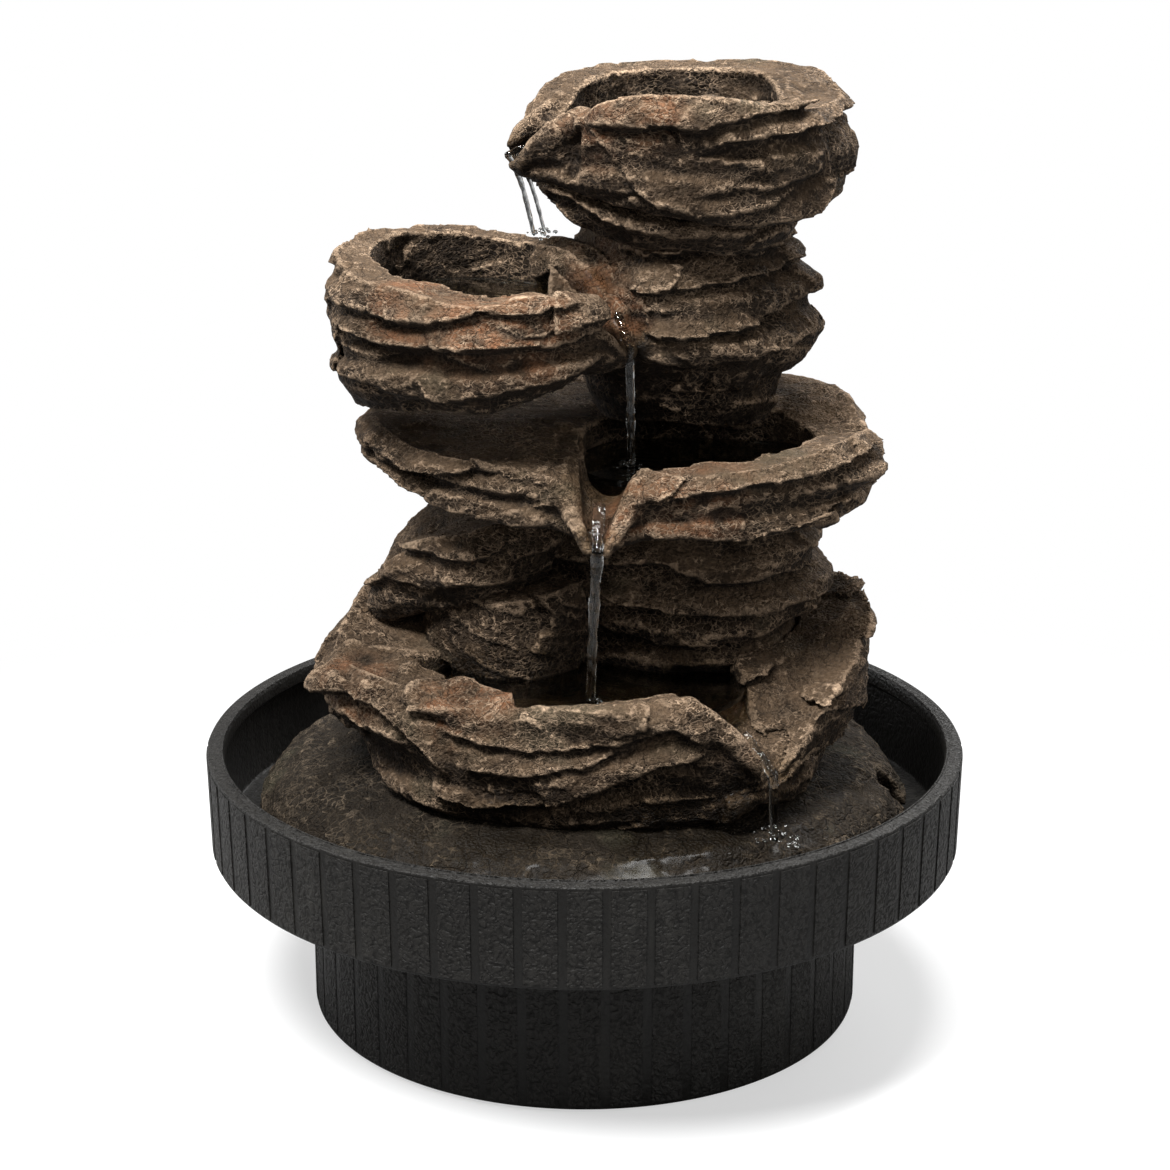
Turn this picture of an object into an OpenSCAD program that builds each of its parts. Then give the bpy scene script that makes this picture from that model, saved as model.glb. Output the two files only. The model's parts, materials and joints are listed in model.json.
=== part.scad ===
// Tabletop rock fountain: a stepped bowl with a pump in its foot, and a cascade of cast stones on it.
// Millimetres, +Z up, front towards -Y, origin on the bowl's axis at the table.

/* [Bowl] */
// Outer diameter of the ring
basin_d = 210; // [175:1:252]
// Height of the rim above the table
basin_h = 77; // [68:1:92]
// Height of the foot below the ring
foot_h = 49; // [44:1:58]
// Width of the overhang from the ring to the foot
overhang = 28; // [22:0.5:32]
// Wall of the ring and of the foot
wall = 3.2; // [2.4:0.1:4]
// Thickness of the foot's floor and of the ring's floor
floor_t = 2.6; // [2:0.1:3.4]
// Width of the flat rim
rim_w = 4.7; // [4.2:0.1:6]
// Depth of the thick band under the rim
rim_band = 4; // [3:0.5:6]
// Diameter of each rubber pad
pad_d = 14; // [11:0.5:18]
// Height that the pads stand proud of the foot
pad_proud = 1; // [0.6:0.1:2]

/* [Cascade] */
// Height of the top bowl's rim above the base plate's crown
cascade_h = 184; // [150:1:222]
// Gap between the base plate and the rim
plate_gap = 10.5; // [8:0.5:13]
// Height of the base plate's crown above its seat
plate_h = 26; // [22:0.5:31]
// Thickness of the base plate's shell
plate_t = 8; // [6:0.5:9]
// Width of the notch for the pump's cable
notch_w = 9; // [6:0.5:12]
// Depth of the notch for the pump's cable
notch_depth = 8; // [6:0.5:10]

/* [Hose] */
// Outer diameter of the riser hose
hose_d = 12; // [11:0.2:14]
// Wall of the riser hose
hose_wall = 2; // [1.6:0.1:2.4]
// Length of the hose's grip on the nozzle and on the outlet fitting
hose_grip = 10; // [8:0.5:12]
// Diameter of the channel through the stones
channel_d = 15; // [14.6:0.2:17]

/* [Pump] */
// Length of the motor housing
motor_l = 30; // [28:0.5:36]
// Width of the housing
pump_w = 36; // [34:0.5:43]
// Height of the housing
pump_h = 42; // [40:0.5:48]
// Wall of the housing and of the intake cover
pump_wall = 1.8; // [1.4:0.1:2.2]
// Height of the suction cups
cup_h = 5.2; // [4:0.1:6]
// Outer diameter of the impeller chamber
chamber_d = 25.6; // [24:0.2:27]
// Length of the impeller chamber
chamber_l = 11.7; // [10:0.1:14]
// Diameter of the rotor magnet
magnet_d = 11.2; // [10:0.1:11.6]
// Length of the rotor magnet
magnet_l = 15; // [13:0.5:17]
// Diameter of the ceramic shaft
shaft_d = 2; // [1.8:0.1:2.4]
// Length of the intake cover
cover_l = 24; // [21:0.5:28]
// Number of blades on the impeller
blades = 6; // [4:1:8]
// Number of slots in the intake cover
slots = 7; // [5:1:7]

/* [Fits] */
// Radial play of the rotor on its shaft
running_gap = 0.05; // [0.02:0.01:0.1]
// Radial play of the hose on the pump's nozzle
slip_gap = 0.05; // [0.02:0.01:0.1]
// Play between pieces that are bonded or pushed together
seat_gap = 0.02; // [0:0.01:0.05]
// Play around the flow regulator in its rails
slide_gap = 0.15; // [0.1:0.05:0.3]

/* [Hidden] */
$fn = 96;
eps = 0.01;

// Bowl
ring_r = basin_d / 2;
ring_draft = 0.6;
edge_cut = 0.6;
foot_r = ring_r - overhang;
foot_in = foot_r - wall;
floor_z = pad_proud + floor_t;
ledge_z = foot_h + floor_t;
rim_in = ring_r - rim_w;
ring_in = ring_r - wall;
pad_sink = 0.6;
pad_circle = foot_r - pad_d;

// Base plate: the lugs lift it off the ledge so that the water drains under it
lug_h = 4;
lug_count = 6;
lug_w = 14;
plate_r = rim_in - plate_gap;
plate_z = ledge_z + lug_h;
crown_z = ledge_z + plate_h;
notch_turn = -10;

// Stones: their edges are written at a plate radius of 89.8 and a rise of 184, and follow the real ones
spread = plate_r / 89.8;
rise = cascade_h / 184;
edge_steps = 44;
corner = 0.42;
gutter_steps = 12;
gutter_open = 3;
riser_x = 26 * spread;
riser_y = 16 * spread;

// Pump: the housing stands behind the chamber, and the chamber's outlet stands under the riser
hose_in = hose_d / 2 - hose_wall;
nozzle_r = hose_in - slip_gap;
pump_z = floor_z + cup_h;
chamber_r = chamber_d / 2;
chamber_wall = 1.5;
seal_t = 0.8;
tube_r = 4.4;
tube_bore = 3;
axis_y = riser_y - 7;
axis_z = pump_z + pump_h - chamber_r - pump_wall - 0.4;
face_x = riser_x - seal_t - chamber_l / 2;
back_x = face_x - motor_l;
front_x = face_x + cover_l;
well_bore = magnet_d / 2 + 0.6;
well_wall = 1;
well_l = magnet_l + 8;
bush_l = 3;
gate_t = 1.6;
core_l = 14;
core_gap = 0.4;
gland_x = back_x + 7;
gland_r = 3.5;
gland_in = 6;
leg_w = 6;
leg_reach = 7;
coil_w = 12;
socket_z = pump_z + pump_h + 1;
socket_h = 7;
hose_z = socket_z + socket_h + 0.5;
outlet_floor = crown_z + 158 * rise;
fitting_lip = 1.6;
lip_d = channel_d + 3;
lip_room = 8;
grommet_d = channel_d + 4;

// Stone edges: each point is [x, y, top, underside], heights measured from the base plate's crown
LOWER_EDGE = [
    [66.5, -14, 26, -6], [70, 12, 32, -6], [60, 38, 34, -6], [34, 54, 34, -6], [0, 58, 34, -6],
    [-34, 50, 38, -4], [-58, 28, 43, 0], [-68, 2, 40, 2], [-74, -17, 31, 7], [-64, -38, 31, 0],
    [-44, -55, 30, -5], [-16, -67, 24, -6], [8, -69, 30, -6], [26, -68, 33, -6], [38, -67, 24, -4],
    [47, -62, 13, 2], [59, -44, 18, -6]
];
LOWER_POOL = [
    [44, -30, 60, 17], [38, -8, 60, 17], [10, -2, 60, 17], [-18, -6, 60, 17], [-42, -20, 60, 19],
    [-46, -34, 60, 20], [-24, -50, 60, 18], [5, -57, 60, 17], [26, -57, 60, 17], [40, -46, 60, 16]
];
COLUMN_EDGE = [
    [66, -8, 74, 24], [64, 20, 74, 24], [42, 44, 74, 24], [5, 50, 74, 24], [-28, 42, 74, 24],
    [-36, 15, 70, 24], [-22, -6, 68, 24], [2, -20, 68, 24], [25, -30, 69, 24], [50, -27, 70, 24]
];
STREAKED_EDGE = [
    [0, -20, 50, 16], [0, 10, 50, 18], [-24, 20, 50, 20], [-43, 8, 48, 22], [-41, -17, 46, 20],
    [-20, -31, 48, 16]
];
BOULDER_EDGE = [
    [-6, -12, 70, 46], [-14, 18, 71, 44], [-36, 28, 66, 38], [-53, 16, 54, 34], [-60.5, -3, 44, 32],
    [-50, -18, 58, 40], [-28, -29, 67, 46]
];
SIDE_EDGE = [
    [78, -8, 43, 18], [73, 12, 44, 20], [56, 16, 40, 24], [44, -4, 34, 22], [40, -28, 31, 18],
    [46, -50, 17, 9], [50, -59, 12, 8], [67, -38, 26, 8], [76, -22, 34, 12]
];
THIRD_EDGE = [
    [80, -5, 88, 71], [75, 14, 96, 71], [60, 34, 96, 70], [30, 46, 94, 70], [0, 48, 93, 70],
    [-30, 40, 93, 72], [-54, 20, 94, 77], [-62, -8, 94, 82], [-53, -28, 91, 80], [-38, -40, 89, 77],
    [-20, -48, 88, 74], [-6, -50, 85, 71], [3.5, -58, 74, 67.5], [14, -50, 85, 69], [35, -50, 87, 69],
    [62, -38, 90, 68], [76, -22, 91, 69]
];
THIRD_POOL = [
    [64, -10, 130, 77], [52, 2, 130, 77], [28, 5, 130, 77], [10, 4, 130, 77], [0, -8, 130, 77],
    [-2, -24, 130, 77], [4, -39, 130, 77], [16, -40, 130, 77], [40, -37, 130, 77], [58, -26, 130, 77]
];
NECK_EDGE = [
    [64, 0, 142, 90], [57, 24, 142, 90], [36, 40, 142, 90], [10, 42, 142, 90], [-8, 28, 142, 90],
    [-8, 6, 142, 90], [4, -20, 142, 92], [20, -31, 142, 94], [44, -26, 142, 92]
];
SECOND_EDGE = [
    [9, -14, 136, 112], [3, 4, 137, 108], [-14, 20, 137.5, 106], [-38, 24, 140, 103], [-58, 10, 141, 101],
    [-67, -12, 139, 100], [-62, -34, 136, 101], [-46, -46, 134.5, 103], [-28, -53, 131, 104],
    [-8, -48, 133, 107], [5, -38, 127, 112], [12, -29, 116, 111]
];
SECOND_POOL = [
    [-8, -8, 170, 118], [-14, 9, 170, 118], [-34, 14, 170, 118], [-50, 5, 170, 118], [-56, -12, 170, 118],
    [-47, -29, 170, 118], [-28, -37, 170, 118], [-12, -31, 170, 118]
];
SLAB_EDGE = [
    [56, -2, 150, 139], [50, 22, 151, 139], [28, 33, 151, 140], [2, 27, 152, 142], [-10, 10, 155, 146],
    [-13, -7, 157, 152], [-6, -18, 155, 146], [8, -26, 152, 142], [28, -31, 149, 141], [46, -23, 148, 139]
];
TOP_EDGE = [
    [70, 0, 176, 148], [65, 27, 182, 150], [36, 39, 182, 150], [4, 36, 181, 151], [-12, 20, 179, 153],
    [-18, 4, 173, 155], [-20, -11, 165, 157], [-8, -24, 172, 156], [3, -33, 179, 154], [16, -38, 182, 152],
    [35, -38, 181, 149], [54, -27, 177, 147]
];
TOP_POOL = [
    [52, 0, 210, 158], [46, 20, 210, 158], [27, 28, 210, 158], [8, 24, 210, 158], [-2, 8, 210, 158],
    [-4, -8, 210, 158], [8, -21, 210, 158], [24, -27, 210, 158], [43, -21, 210, 158]
];

// Belly profiles: each pair is [share of the height, reach of the edge], from the underside up
ONE_LEDGE = [[0, 0.84], [0.25, 0.95], [0.55, 1], [0.8, 0.99], [1, 0.94]];
TWO_LEDGES = [[0, 0.84], [0.16, 0.96], [0.32, 0.97], [0.40, 0.93], [0.62, 1], [0.84, 0.98], [1, 0.93]];
LAYERED = [
    [0, 0.80], [0.12, 0.90], [0.22, 0.84], [0.36, 0.95], [0.5, 1], [0.6, 0.90], [0.72, 0.95], [0.82, 0.88],
    [1, 0.86]
];
NECKED = [
    [0, 0.62], [0.14, 0.70], [0.26, 0.74], [0.38, 0.92], [0.5, 1], [0.62, 0.88], [0.74, 0.91], [0.86, 0.80],
    [1, 0.72]
];
HOLLOW = [[0, 0.84], [0.07, 0.96], [1, 1]];

// Point at share s around a closed edge, as a smooth curve through its points
function along(edge, s) =
    let (n = len(edge), u = s * n, i = floor(u), t = u - i,
         a = edge[(i + n - 1) % n], b = edge[i % n], c = edge[(i + 1) % n], d = edge[(i + 2) % n],
         out = (c - a) * corner, on = (d - b) * corner)
    b + out * t + (3 * (c - b) - 2 * out - on) * t * t + (2 * (b - c) + out + on) * t * t * t;

function mean(edge, k) = [for (e = edge) 1] * [for (e = edge) e[k]] / len(edge);

// A place among the stones, in real millimetres
function spot(x, y, h) = [x * spread, y * spread, crown_z + h * rise];

// One stone: the edge is repeated at each height of the belly, drawn in towards its middle
module stone(edge, belly) {
    mid = [mean(edge, 0), mean(edge, 1)];
    n = edge_steps;
    last = (len(belly) - 1) * n;
    points = concat(
        [for (b = belly) for (k = [0 : n - 1]) let (e = along(edge, k / n))
            spot(mid.x + (e.x - mid.x) * b[1], mid.y + (e.y - mid.y) * b[1], e[3] + (e[2] - e[3]) * b[0])],
        [spot(mid.x, mid.y, mean(edge, 3)), spot(mid.x, mid.y, mean(edge, 2))]);
    sides = [for (i = [0 : len(belly) - 2]) for (k = [0 : n - 1])
        let (a = i * n + k, b = i * n + (k + 1) % n)
        each [[a, a + n, b + n], [a, b + n, b]]];
    caps = [for (k = [0 : n - 1]) each [
        [len(points) - 2, k, (k + 1) % n],
        [len(points) - 1, last + (k + 1) % n, last + k]]];
    polyhedron(points, concat(sides, caps));
}

// Round-bottomed channel, open at the top, along a path of [x, y, bottom, radius]
module gutter(path) {
    n = gutter_steps;
    ring = n + 3;
    last = len(path) - 1;
    points = [for (i = [0 : last])
        let (p = path[i], before = path[max(i - 1, 0)], after = path[min(i + 1, last)], r = p[3],
             run = [after.x - before.x, after.y - before.y], side = [run.y, -run.x, 0] / norm(run),
             mid = spot(p.x, p.y, p[2]) + [0, 0, r])
        each concat(
            [mid + side * r + [0, 0, gutter_open * r]],
            [for (k = [0 : n]) mid + side * r * cos(180 * k / n) - [0, 0, r * sin(180 * k / n)]],
            [mid - side * r + [0, 0, gutter_open * r]])];
    sides = [for (i = [0 : last - 1]) for (k = [0 : ring - 1])
        let (a = i * ring + k, b = i * ring + (k + 1) % ring)
        each [[a, b + ring, b], [a, a + ring, b + ring]]];
    ends = [[for (k = [0 : ring - 1]) k], [for (k = [0 : ring - 1]) (last + 1) * ring - 1 - k]];
    polyhedron(points, concat(sides, ends));
}

module riser_channel() {
    translate([riser_x, riser_y, ledge_z]) cylinder(h = outlet_floor - ledge_z + eps, d = channel_d);
}

module plate_dome() {
    rotate_extrude() polygon([
        [0, plate_z], [plate_r - 1.5, plate_z], [plate_r, plate_z + 3],
        [plate_r, crown_z - 15], [plate_r - 4, crown_z - 9.5],
        [plate_r - 11, crown_z - 5], [plate_r - 30, crown_z - 2],
        [plate_r - 50, crown_z], [0, crown_z]]);
}

module plate_hollow() {
    rotate_extrude() polygon([
        [0, plate_z - 1], [plate_r - 12, plate_z - 1], [plate_r - 20, crown_z - plate_t - 6],
        [plate_r - 40, crown_z - plate_t - 2], [plate_r - 60, crown_z - plate_t], [0, crown_z - plate_t]]);
}

// Forms before they are bedded on their neighbours
module lower_form() {
    difference() {
        stone(LOWER_EDGE, TWO_LEDGES);
        stone(LOWER_POOL, HOLLOW);
        gutter([[30, -43, 26, 4.5], [36, -50, 24, 4.5], [47, -64, 11, 3], [49, -67, 9, 3]]);
    }
}
module column_form() { stone(COLUMN_EDGE, LAYERED); }
module streaked_form() { stone(STREAKED_EDGE, ONE_LEDGE); }
module boulder_form() { stone(BOULDER_EDGE, ONE_LEDGE); }
module side_form() { stone(SIDE_EDGE, ONE_LEDGE); }
module third_form() {
    difference() {
        stone(THIRD_EDGE, TWO_LEDGES);
        stone(THIRD_POOL, HOLLOW);
        gutter([[4, -31, 83, 5], [4, -36, 81, 5], [3.5, -61, 70, 3], [3.4, -64, 69, 3]]);
    }
}
module neck_form() { stone(NECK_EDGE, NECKED); }
module second_form() {
    difference() {
        stone(SECOND_EDGE, TWO_LEDGES);
        stone(SECOND_POOL, HOLLOW);
        gutter([
            [-12, -9, 128, 4], [-4, -14, 127, 4], [6, -20, 124, 3], [12.5, -31, 113, 2.5], [14, -34, 111, 2.5]
        ]);
    }
}
module slab_form() { stone(SLAB_EDGE, ONE_LEDGE); }
module top_form() {
    difference() {
        stone(TOP_EDGE, TWO_LEDGES);
        stone(TOP_POOL, HOLLOW);
        gutter([[4, -2, 164, 4.6], [0, -4, 164, 4.6], [-22, -12.5, 161, 3.2], [-25, -13.7, 160.6, 3.2]]);
    }
}

module basin() {
    color([0.09, 0.09, 0.09]) difference() {
        rotate_extrude($fn = 180) polygon([
            [0, pad_proud], [foot_r - edge_cut, pad_proud], [foot_r, pad_proud + edge_cut], [foot_r, foot_h],
            [ring_r - ring_draft - edge_cut, foot_h], [ring_r - ring_draft, foot_h + edge_cut],
            [ring_r, basin_h - edge_cut], [ring_r - edge_cut, basin_h],
            [rim_in, basin_h], [rim_in, basin_h - rim_band], [ring_in, basin_h - rim_band - 1.5],
            [ring_in - ring_draft, ledge_z], [foot_in, ledge_z], [foot_in, floor_z], [0, floor_z]]);
        for (k = [0 : 3]) rotate(45 + 90 * k) translate([pad_circle, 0, pad_proud - eps])
            cylinder(h = pad_sink + eps, d = pad_d + 2 * seat_gap, $fn = 48);
    }
}

module foot_pads() {
    color([0.2, 0.2, 0.2]) for (k = [0 : 3]) rotate(45 + 90 * k) translate([pad_circle, 0, 0])
        cylinder(h = pad_proud + pad_sink, d = pad_d, $fn = 48);
}

module base_plate() {
    color([0.25, 0.21, 0.18]) difference() {
        union() {
            difference() {
                plate_dome();
                plate_hollow();
            }
            for (k = [0 : lug_count - 1]) rotate(30 + 360 / lug_count * k)
                translate([foot_r + 1, -lug_w / 2, ledge_z])
                    cube([plate_r - foot_r - 4, lug_w, lug_h + 3]);
        }
        rotate(notch_turn) translate([plate_r - notch_depth, -notch_w / 2, ledge_z - 1])
            cube([notch_depth * 2, notch_w, plate_h]);
        translate([riser_x, riser_y, ledge_z]) cylinder(h = plate_h + 1, d = channel_d);
        translate([riser_x, riser_y, ledge_z])
            cylinder(h = plate_h - plate_t + seat_gap, d = grommet_d + 2 * seat_gap);
    }
}

module hose_grommet() {
    low = crown_z - plate_t;
    color([0.15, 0.15, 0.15]) translate([riser_x, riser_y, 0]) difference() {
        union() {
            translate([0, 0, low - 2]) cylinder(h = 2, d = grommet_d);
            translate([0, 0, low - eps]) cylinder(h = plate_t - 2, d = channel_d - 2 * seat_gap);
        }
        translate([0, 0, low - 3]) cylinder(h = plate_t + 4, d = hose_d + 2 * seat_gap);
    }
}

module lower_tier() {
    color([0.30, 0.23, 0.18]) difference() { lower_form(); plate_dome(); riser_channel(); }
}
module back_column() {
    color([0.22, 0.19, 0.17]) difference() { column_form(); lower_form(); riser_channel(); }
}
module streaked_boulder() {
    color([0.33, 0.22, 0.15]) difference() { streaked_form(); lower_form(); column_form(); }
}
module left_boulder() {
    color([0.28, 0.22, 0.17]) difference() { boulder_form(); lower_form(); column_form(); streaked_form(); }
}
module side_stone() {
    color([0.31, 0.24, 0.19]) difference() { side_form(); lower_form(); column_form(); }
}
module third_tier() {
    color([0.27, 0.22, 0.18]) difference() { third_form(); column_form(); boulder_form(); riser_channel(); }
}
module neck() {
    color([0.24, 0.20, 0.18]) difference() { neck_form(); third_form(); riser_channel(); }
}
module second_bowl() {
    color([0.32, 0.25, 0.20]) difference() { second_form(); neck_form(); third_form(); }
}
module under_slab() {
    color([0.20, 0.18, 0.16]) difference() { slab_form(); neck_form(); riser_channel(); }
}
module top_bowl() {
    color([0.31, 0.25, 0.21]) difference() {
        top_form();
        slab_form();
        neck_form();
        riser_channel();
        translate([riser_x, riser_y, outlet_floor - seat_gap]) cylinder(h = lip_room, d = lip_d + 2 * seat_gap);
    }
}

module riser_hose() {
    top = outlet_floor - seat_gap;
    color([0.75, 0.75, 0.72]) translate([riser_x, riser_y, hose_z]) difference() {
        cylinder(h = top - hose_z, d = hose_d);
        translate([0, 0, -1]) cylinder(h = top - hose_z + 2, r = hose_in);
    }
}

module outlet_fitting() {
    color([0.15, 0.15, 0.15]) translate([riser_x, riser_y, 0]) difference() {
        union() {
            translate([0, 0, outlet_floor]) cylinder(h = fitting_lip, d = lip_d);
            translate([0, 0, outlet_floor - hose_grip])
                cylinder(h = hose_grip + eps, r = hose_in - seat_gap);
        }
        translate([0, 0, outlet_floor - hose_grip - 1]) cylinder(h = hose_grip + 4, r = hose_in - 1.2);
    }
}

// Along the pump's axis: x runs from the motor to the intake
module along_axis(x) { translate([x, axis_y, axis_z]) rotate([0, 90, 0]) children(); }

module motor_box(grow, from_x, to_x) {
    translate([from_x, axis_y - pump_w / 2 - grow, pump_z - grow])
        cube([to_x - from_x, pump_w + 2 * grow, pump_h + 2 * grow]);
}

module pump_housing() {
    color([0.12, 0.12, 0.12]) difference() {
        union() {
            difference() {
                motor_box(0, back_x, face_x);
                motor_box(-pump_wall, back_x - 1, face_x - pump_wall);
            }
            along_axis(face_x - well_l - well_wall)
                cylinder(h = well_l + well_wall, r = well_bore + well_wall);
        }
        along_axis(face_x - well_l) cylinder(h = well_l + 1, r = well_bore);
        translate([gland_x, axis_y, pump_z + pump_h - pump_wall - 1]) cylinder(h = pump_wall + 2, r = gland_r);
    }
}

module stator_core() {
    head_h = 15;
    leg_low = pump_z + pump_wall + 1;
    reach = leg_reach + leg_w;
    color([0.55, 0.56, 0.58]) translate([face_x - 7 - core_l, axis_y, 0]) difference() {
        union() {
            translate([0, -reach, leg_low]) cube([core_l, 2 * reach, 4.5]);
            for (side = [0, 1]) mirror([0, side, 0]) {
                translate([0, leg_reach, leg_low]) cube([core_l, leg_w, axis_z - leg_low]);
                translate([0, 1, axis_z - head_h / 2]) cube([core_l, reach - 1, head_h]);
            }
        }
        translate([-1, 0, axis_z]) rotate([0, 90, 0])
            cylinder(h = core_l + 2, r = well_bore + well_wall + core_gap);
    }
}

module stator_coils() {
    leg_low = pump_z + pump_wall + 1 + 4.5;
    coil_h = axis_z - 7.5 - leg_low - 0.6;
    color([0.72, 0.38, 0.18]) translate([face_x - 7 - core_l, axis_y, leg_low + 0.3])
        for (side = [0, 1]) mirror([0, side, 0]) difference() {
            translate([-3, leg_reach + leg_w / 2 - coil_w / 2, 0]) cube([core_l + 6, coil_w, coil_h]);
            translate([-seat_gap, leg_reach - seat_gap, -1])
                cube([core_l + 2 * seat_gap, leg_w + 2 * seat_gap, coil_h + 2]);
        }
}

module potting() {
    color([0.05, 0.05, 0.06]) difference() {
        motor_box(-pump_wall - seat_gap, back_x + 0.6, face_x - pump_wall - seat_gap);
        along_axis(face_x - well_l - well_wall - seat_gap)
            cylinder(h = well_l + 4, r = well_bore + well_wall + seat_gap);
        stator_core();
        stator_coils();
        translate([gland_x, axis_y, pump_z + pump_h - gland_in]) cylinder(h = gland_in, r = gland_r + seat_gap);
    }
}

module cable_gland() {
    low = pump_z + pump_h - gland_in;
    flange = 1.5;
    boot = 6;
    color([0.1, 0.1, 0.1]) translate([gland_x, axis_y, low]) difference() {
        union() {
            cylinder(h = gland_in + 2 * eps, r = gland_r - seat_gap);
            translate([0, 0, gland_in]) cylinder(h = flange, r = gland_r + 1.5);
            translate([0, 0, gland_in + flange]) cylinder(h = boot, r1 = gland_r + 0.3, r2 = gland_r - 0.6);
        }
        translate([0, 0, 1]) cylinder(h = 14, r = 2);
    }
}

module chamber_seal() {
    color([0.25, 0.12, 0.1]) along_axis(face_x) difference() {
        cylinder(h = seal_t, r = chamber_r);
        translate([0, 0, -1]) cylinder(h = seal_t + 2, r = chamber_r - chamber_wall);
    }
}

module chamber_cover() {
    from_x = face_x + seal_t;
    color([0.14, 0.14, 0.14]) difference() {
        union() {
            along_axis(from_x) cylinder(h = chamber_l, r = chamber_r);
            translate([riser_x, riser_y, axis_z])
                cylinder(h = socket_z + socket_h - 1.2 - axis_z, r = tube_r);
        }
        along_axis(from_x - 1) cylinder(h = chamber_l - chamber_wall + 1, r = chamber_r - chamber_wall);
        translate([riser_x, riser_y, axis_z]) cylinder(h = socket_z + socket_h - axis_z, r = tube_bore);
        along_axis(from_x) difference() {
            cylinder(h = chamber_l + 1, r = 5.4);
            translate([0, 0, -1]) cylinder(h = chamber_l + 3, r = 3.2);
            for (k = [0 : 2]) rotate(120 * k) translate([0, -0.7, 0]) cube([6, 1.4, chamber_l + 2]);
        }
        along_axis(from_x) cylinder(h = chamber_l + 1, r = shaft_d / 2 + 1 + seat_gap);
    }
}

module hose_nozzle() {
    color([0.1, 0.1, 0.1]) translate([riser_x, riser_y, 0]) difference() {
        union() {
            translate([0, 0, socket_z]) cylinder(h = socket_h, r = hose_d / 2);
            translate([0, 0, socket_z + socket_h - eps]) cylinder(h = hose_grip, r = nozzle_r);
        }
        translate([0, 0, socket_z - 1]) cylinder(h = socket_h, r = tube_r + seat_gap);
        translate([0, 0, socket_z]) cylinder(h = socket_h + hose_grip + 1, r = nozzle_r - 1.2);
    }
}

module shaft() {
    color([0.93, 0.93, 0.9]) along_axis(face_x - well_l + 0.5)
        cylinder(h = well_l + seal_t + chamber_l - 0.5, d = shaft_d);
}
module rear_bush() {
    color([0.2, 0.2, 0.2]) along_axis(face_x - well_l) difference() {
        cylinder(h = bush_l, r = well_bore - seat_gap);
        translate([0, 0, 0.5]) cylinder(h = bush_l, r = shaft_d / 2 + seat_gap);
    }
}
module front_bush() {
    color([0.2, 0.2, 0.2]) along_axis(face_x + seal_t + chamber_l - chamber_wall - 0.5) difference() {
        cylinder(h = chamber_wall + 0.5, r = shaft_d / 2 + 1);
        translate([0, 0, -1]) cylinder(h = 5, r = shaft_d / 2 + seat_gap);
    }
}

module suction_cups() {
    color([0.75, 0.75, 0.72])
        for (sx = [back_x + 7.5, face_x - 7.5]) for (sy = [-1, 1])
            translate([sx, axis_y + sy * (pump_w / 2 - 8), floor_z]) rotate_extrude($fn = 48) polygon([
                [0, cup_h], [3, cup_h], [3, cup_h - 2], [2.4, cup_h - 2.6], [6.5, 0], [5.4, 0],
                [2, cup_h - 3.6], [0, cup_h - 3.6]]);
}

module rotor_magnet() {
    color([0.3, 0.3, 0.32]) along_axis(face_x - well_l + bush_l + 0.4) difference() {
        cylinder(h = magnet_l, d = magnet_d);
        translate([0, 0, -1]) cylinder(h = magnet_l + 2, r = shaft_d / 2 + running_gap);
    }
}

module impeller() {
    hub_x = face_x - well_l + bush_l + 0.4 + magnet_l;
    web_x = face_x + seal_t + 0.6;
    end_x = face_x + seal_t + chamber_l - chamber_wall - 1.1;
    blade_r = chamber_r - chamber_wall - 1.5;
    color([0.85, 0.85, 0.83]) difference() {
        union() {
            along_axis(hub_x) cylinder(h = end_x - hub_x, r = 2.6);
            along_axis(web_x) cylinder(h = 1, r = 6);
            for (k = [0 : blades - 1]) along_axis(web_x) rotate(360 / blades * k)
                translate([0, -0.5, 0]) cube([blade_r, 1, end_x - web_x - 0.4]);
        }
        along_axis(hub_x - 1) cylinder(h = end_x - hub_x + 2, r = shaft_d / 2 + running_gap);
    }
}

module intake_cover() {
    slot_w = 2;
    pitch = (pump_w - 8) / slots;
    rail_y = 8 + slide_gap;
    rail_low = 20;
    rail_h = 32;
    color([0.12, 0.12, 0.12]) difference() {
        union() {
            difference() {
                motor_box(0, face_x + seat_gap, front_x);
                motor_box(-pump_wall, face_x - 1, front_x - pump_wall);
            }
            for (side = [-1, 1]) {
                translate([front_x - eps, axis_y + side * (rail_y + 1) - 1, axis_z - rail_low])
                    cube([2.8, 2, rail_h]);
                translate([front_x + gate_t + slide_gap, axis_y + side * rail_y - 1, axis_z - rail_low])
                    cube([1, 2, rail_h]);
            }
        }
        for (k = [0 : slots - 1])
            translate([front_x - pump_wall - 1, axis_y + (k - (slots - 1) / 2) * pitch - slot_w / 2,
                    axis_z - rail_low - 2])
                cube([pump_wall + 1 + eps, slot_w, rail_h]);
        translate([face_x - 1, riser_y - tube_r - 0.8, pump_z + pump_h - pump_wall - 1])
            cube([riser_x - face_x + 1, 2 * tube_r + 1.6, pump_wall + 2]);
        translate([riser_x, riser_y, pump_z + pump_h - pump_wall - 1])
            cylinder(h = pump_wall + 2, r = tube_r + 0.8);
    }
}

module filter_foam() {
    color([0.1, 0.12, 0.12])
        motor_box(-pump_wall - 0.3, face_x + seal_t + chamber_l + 1.5, front_x - pump_wall - 0.2);
}

module flow_regulator() {
    color([0.6, 0.6, 0.6]) translate([front_x + slide_gap / 2, axis_y, axis_z]) {
        translate([0, -8, 0]) cube([gate_t, 16, 11]);
        translate([gate_t - eps, -4, 4]) cube([2, 8, 3]);
    }
}

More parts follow.
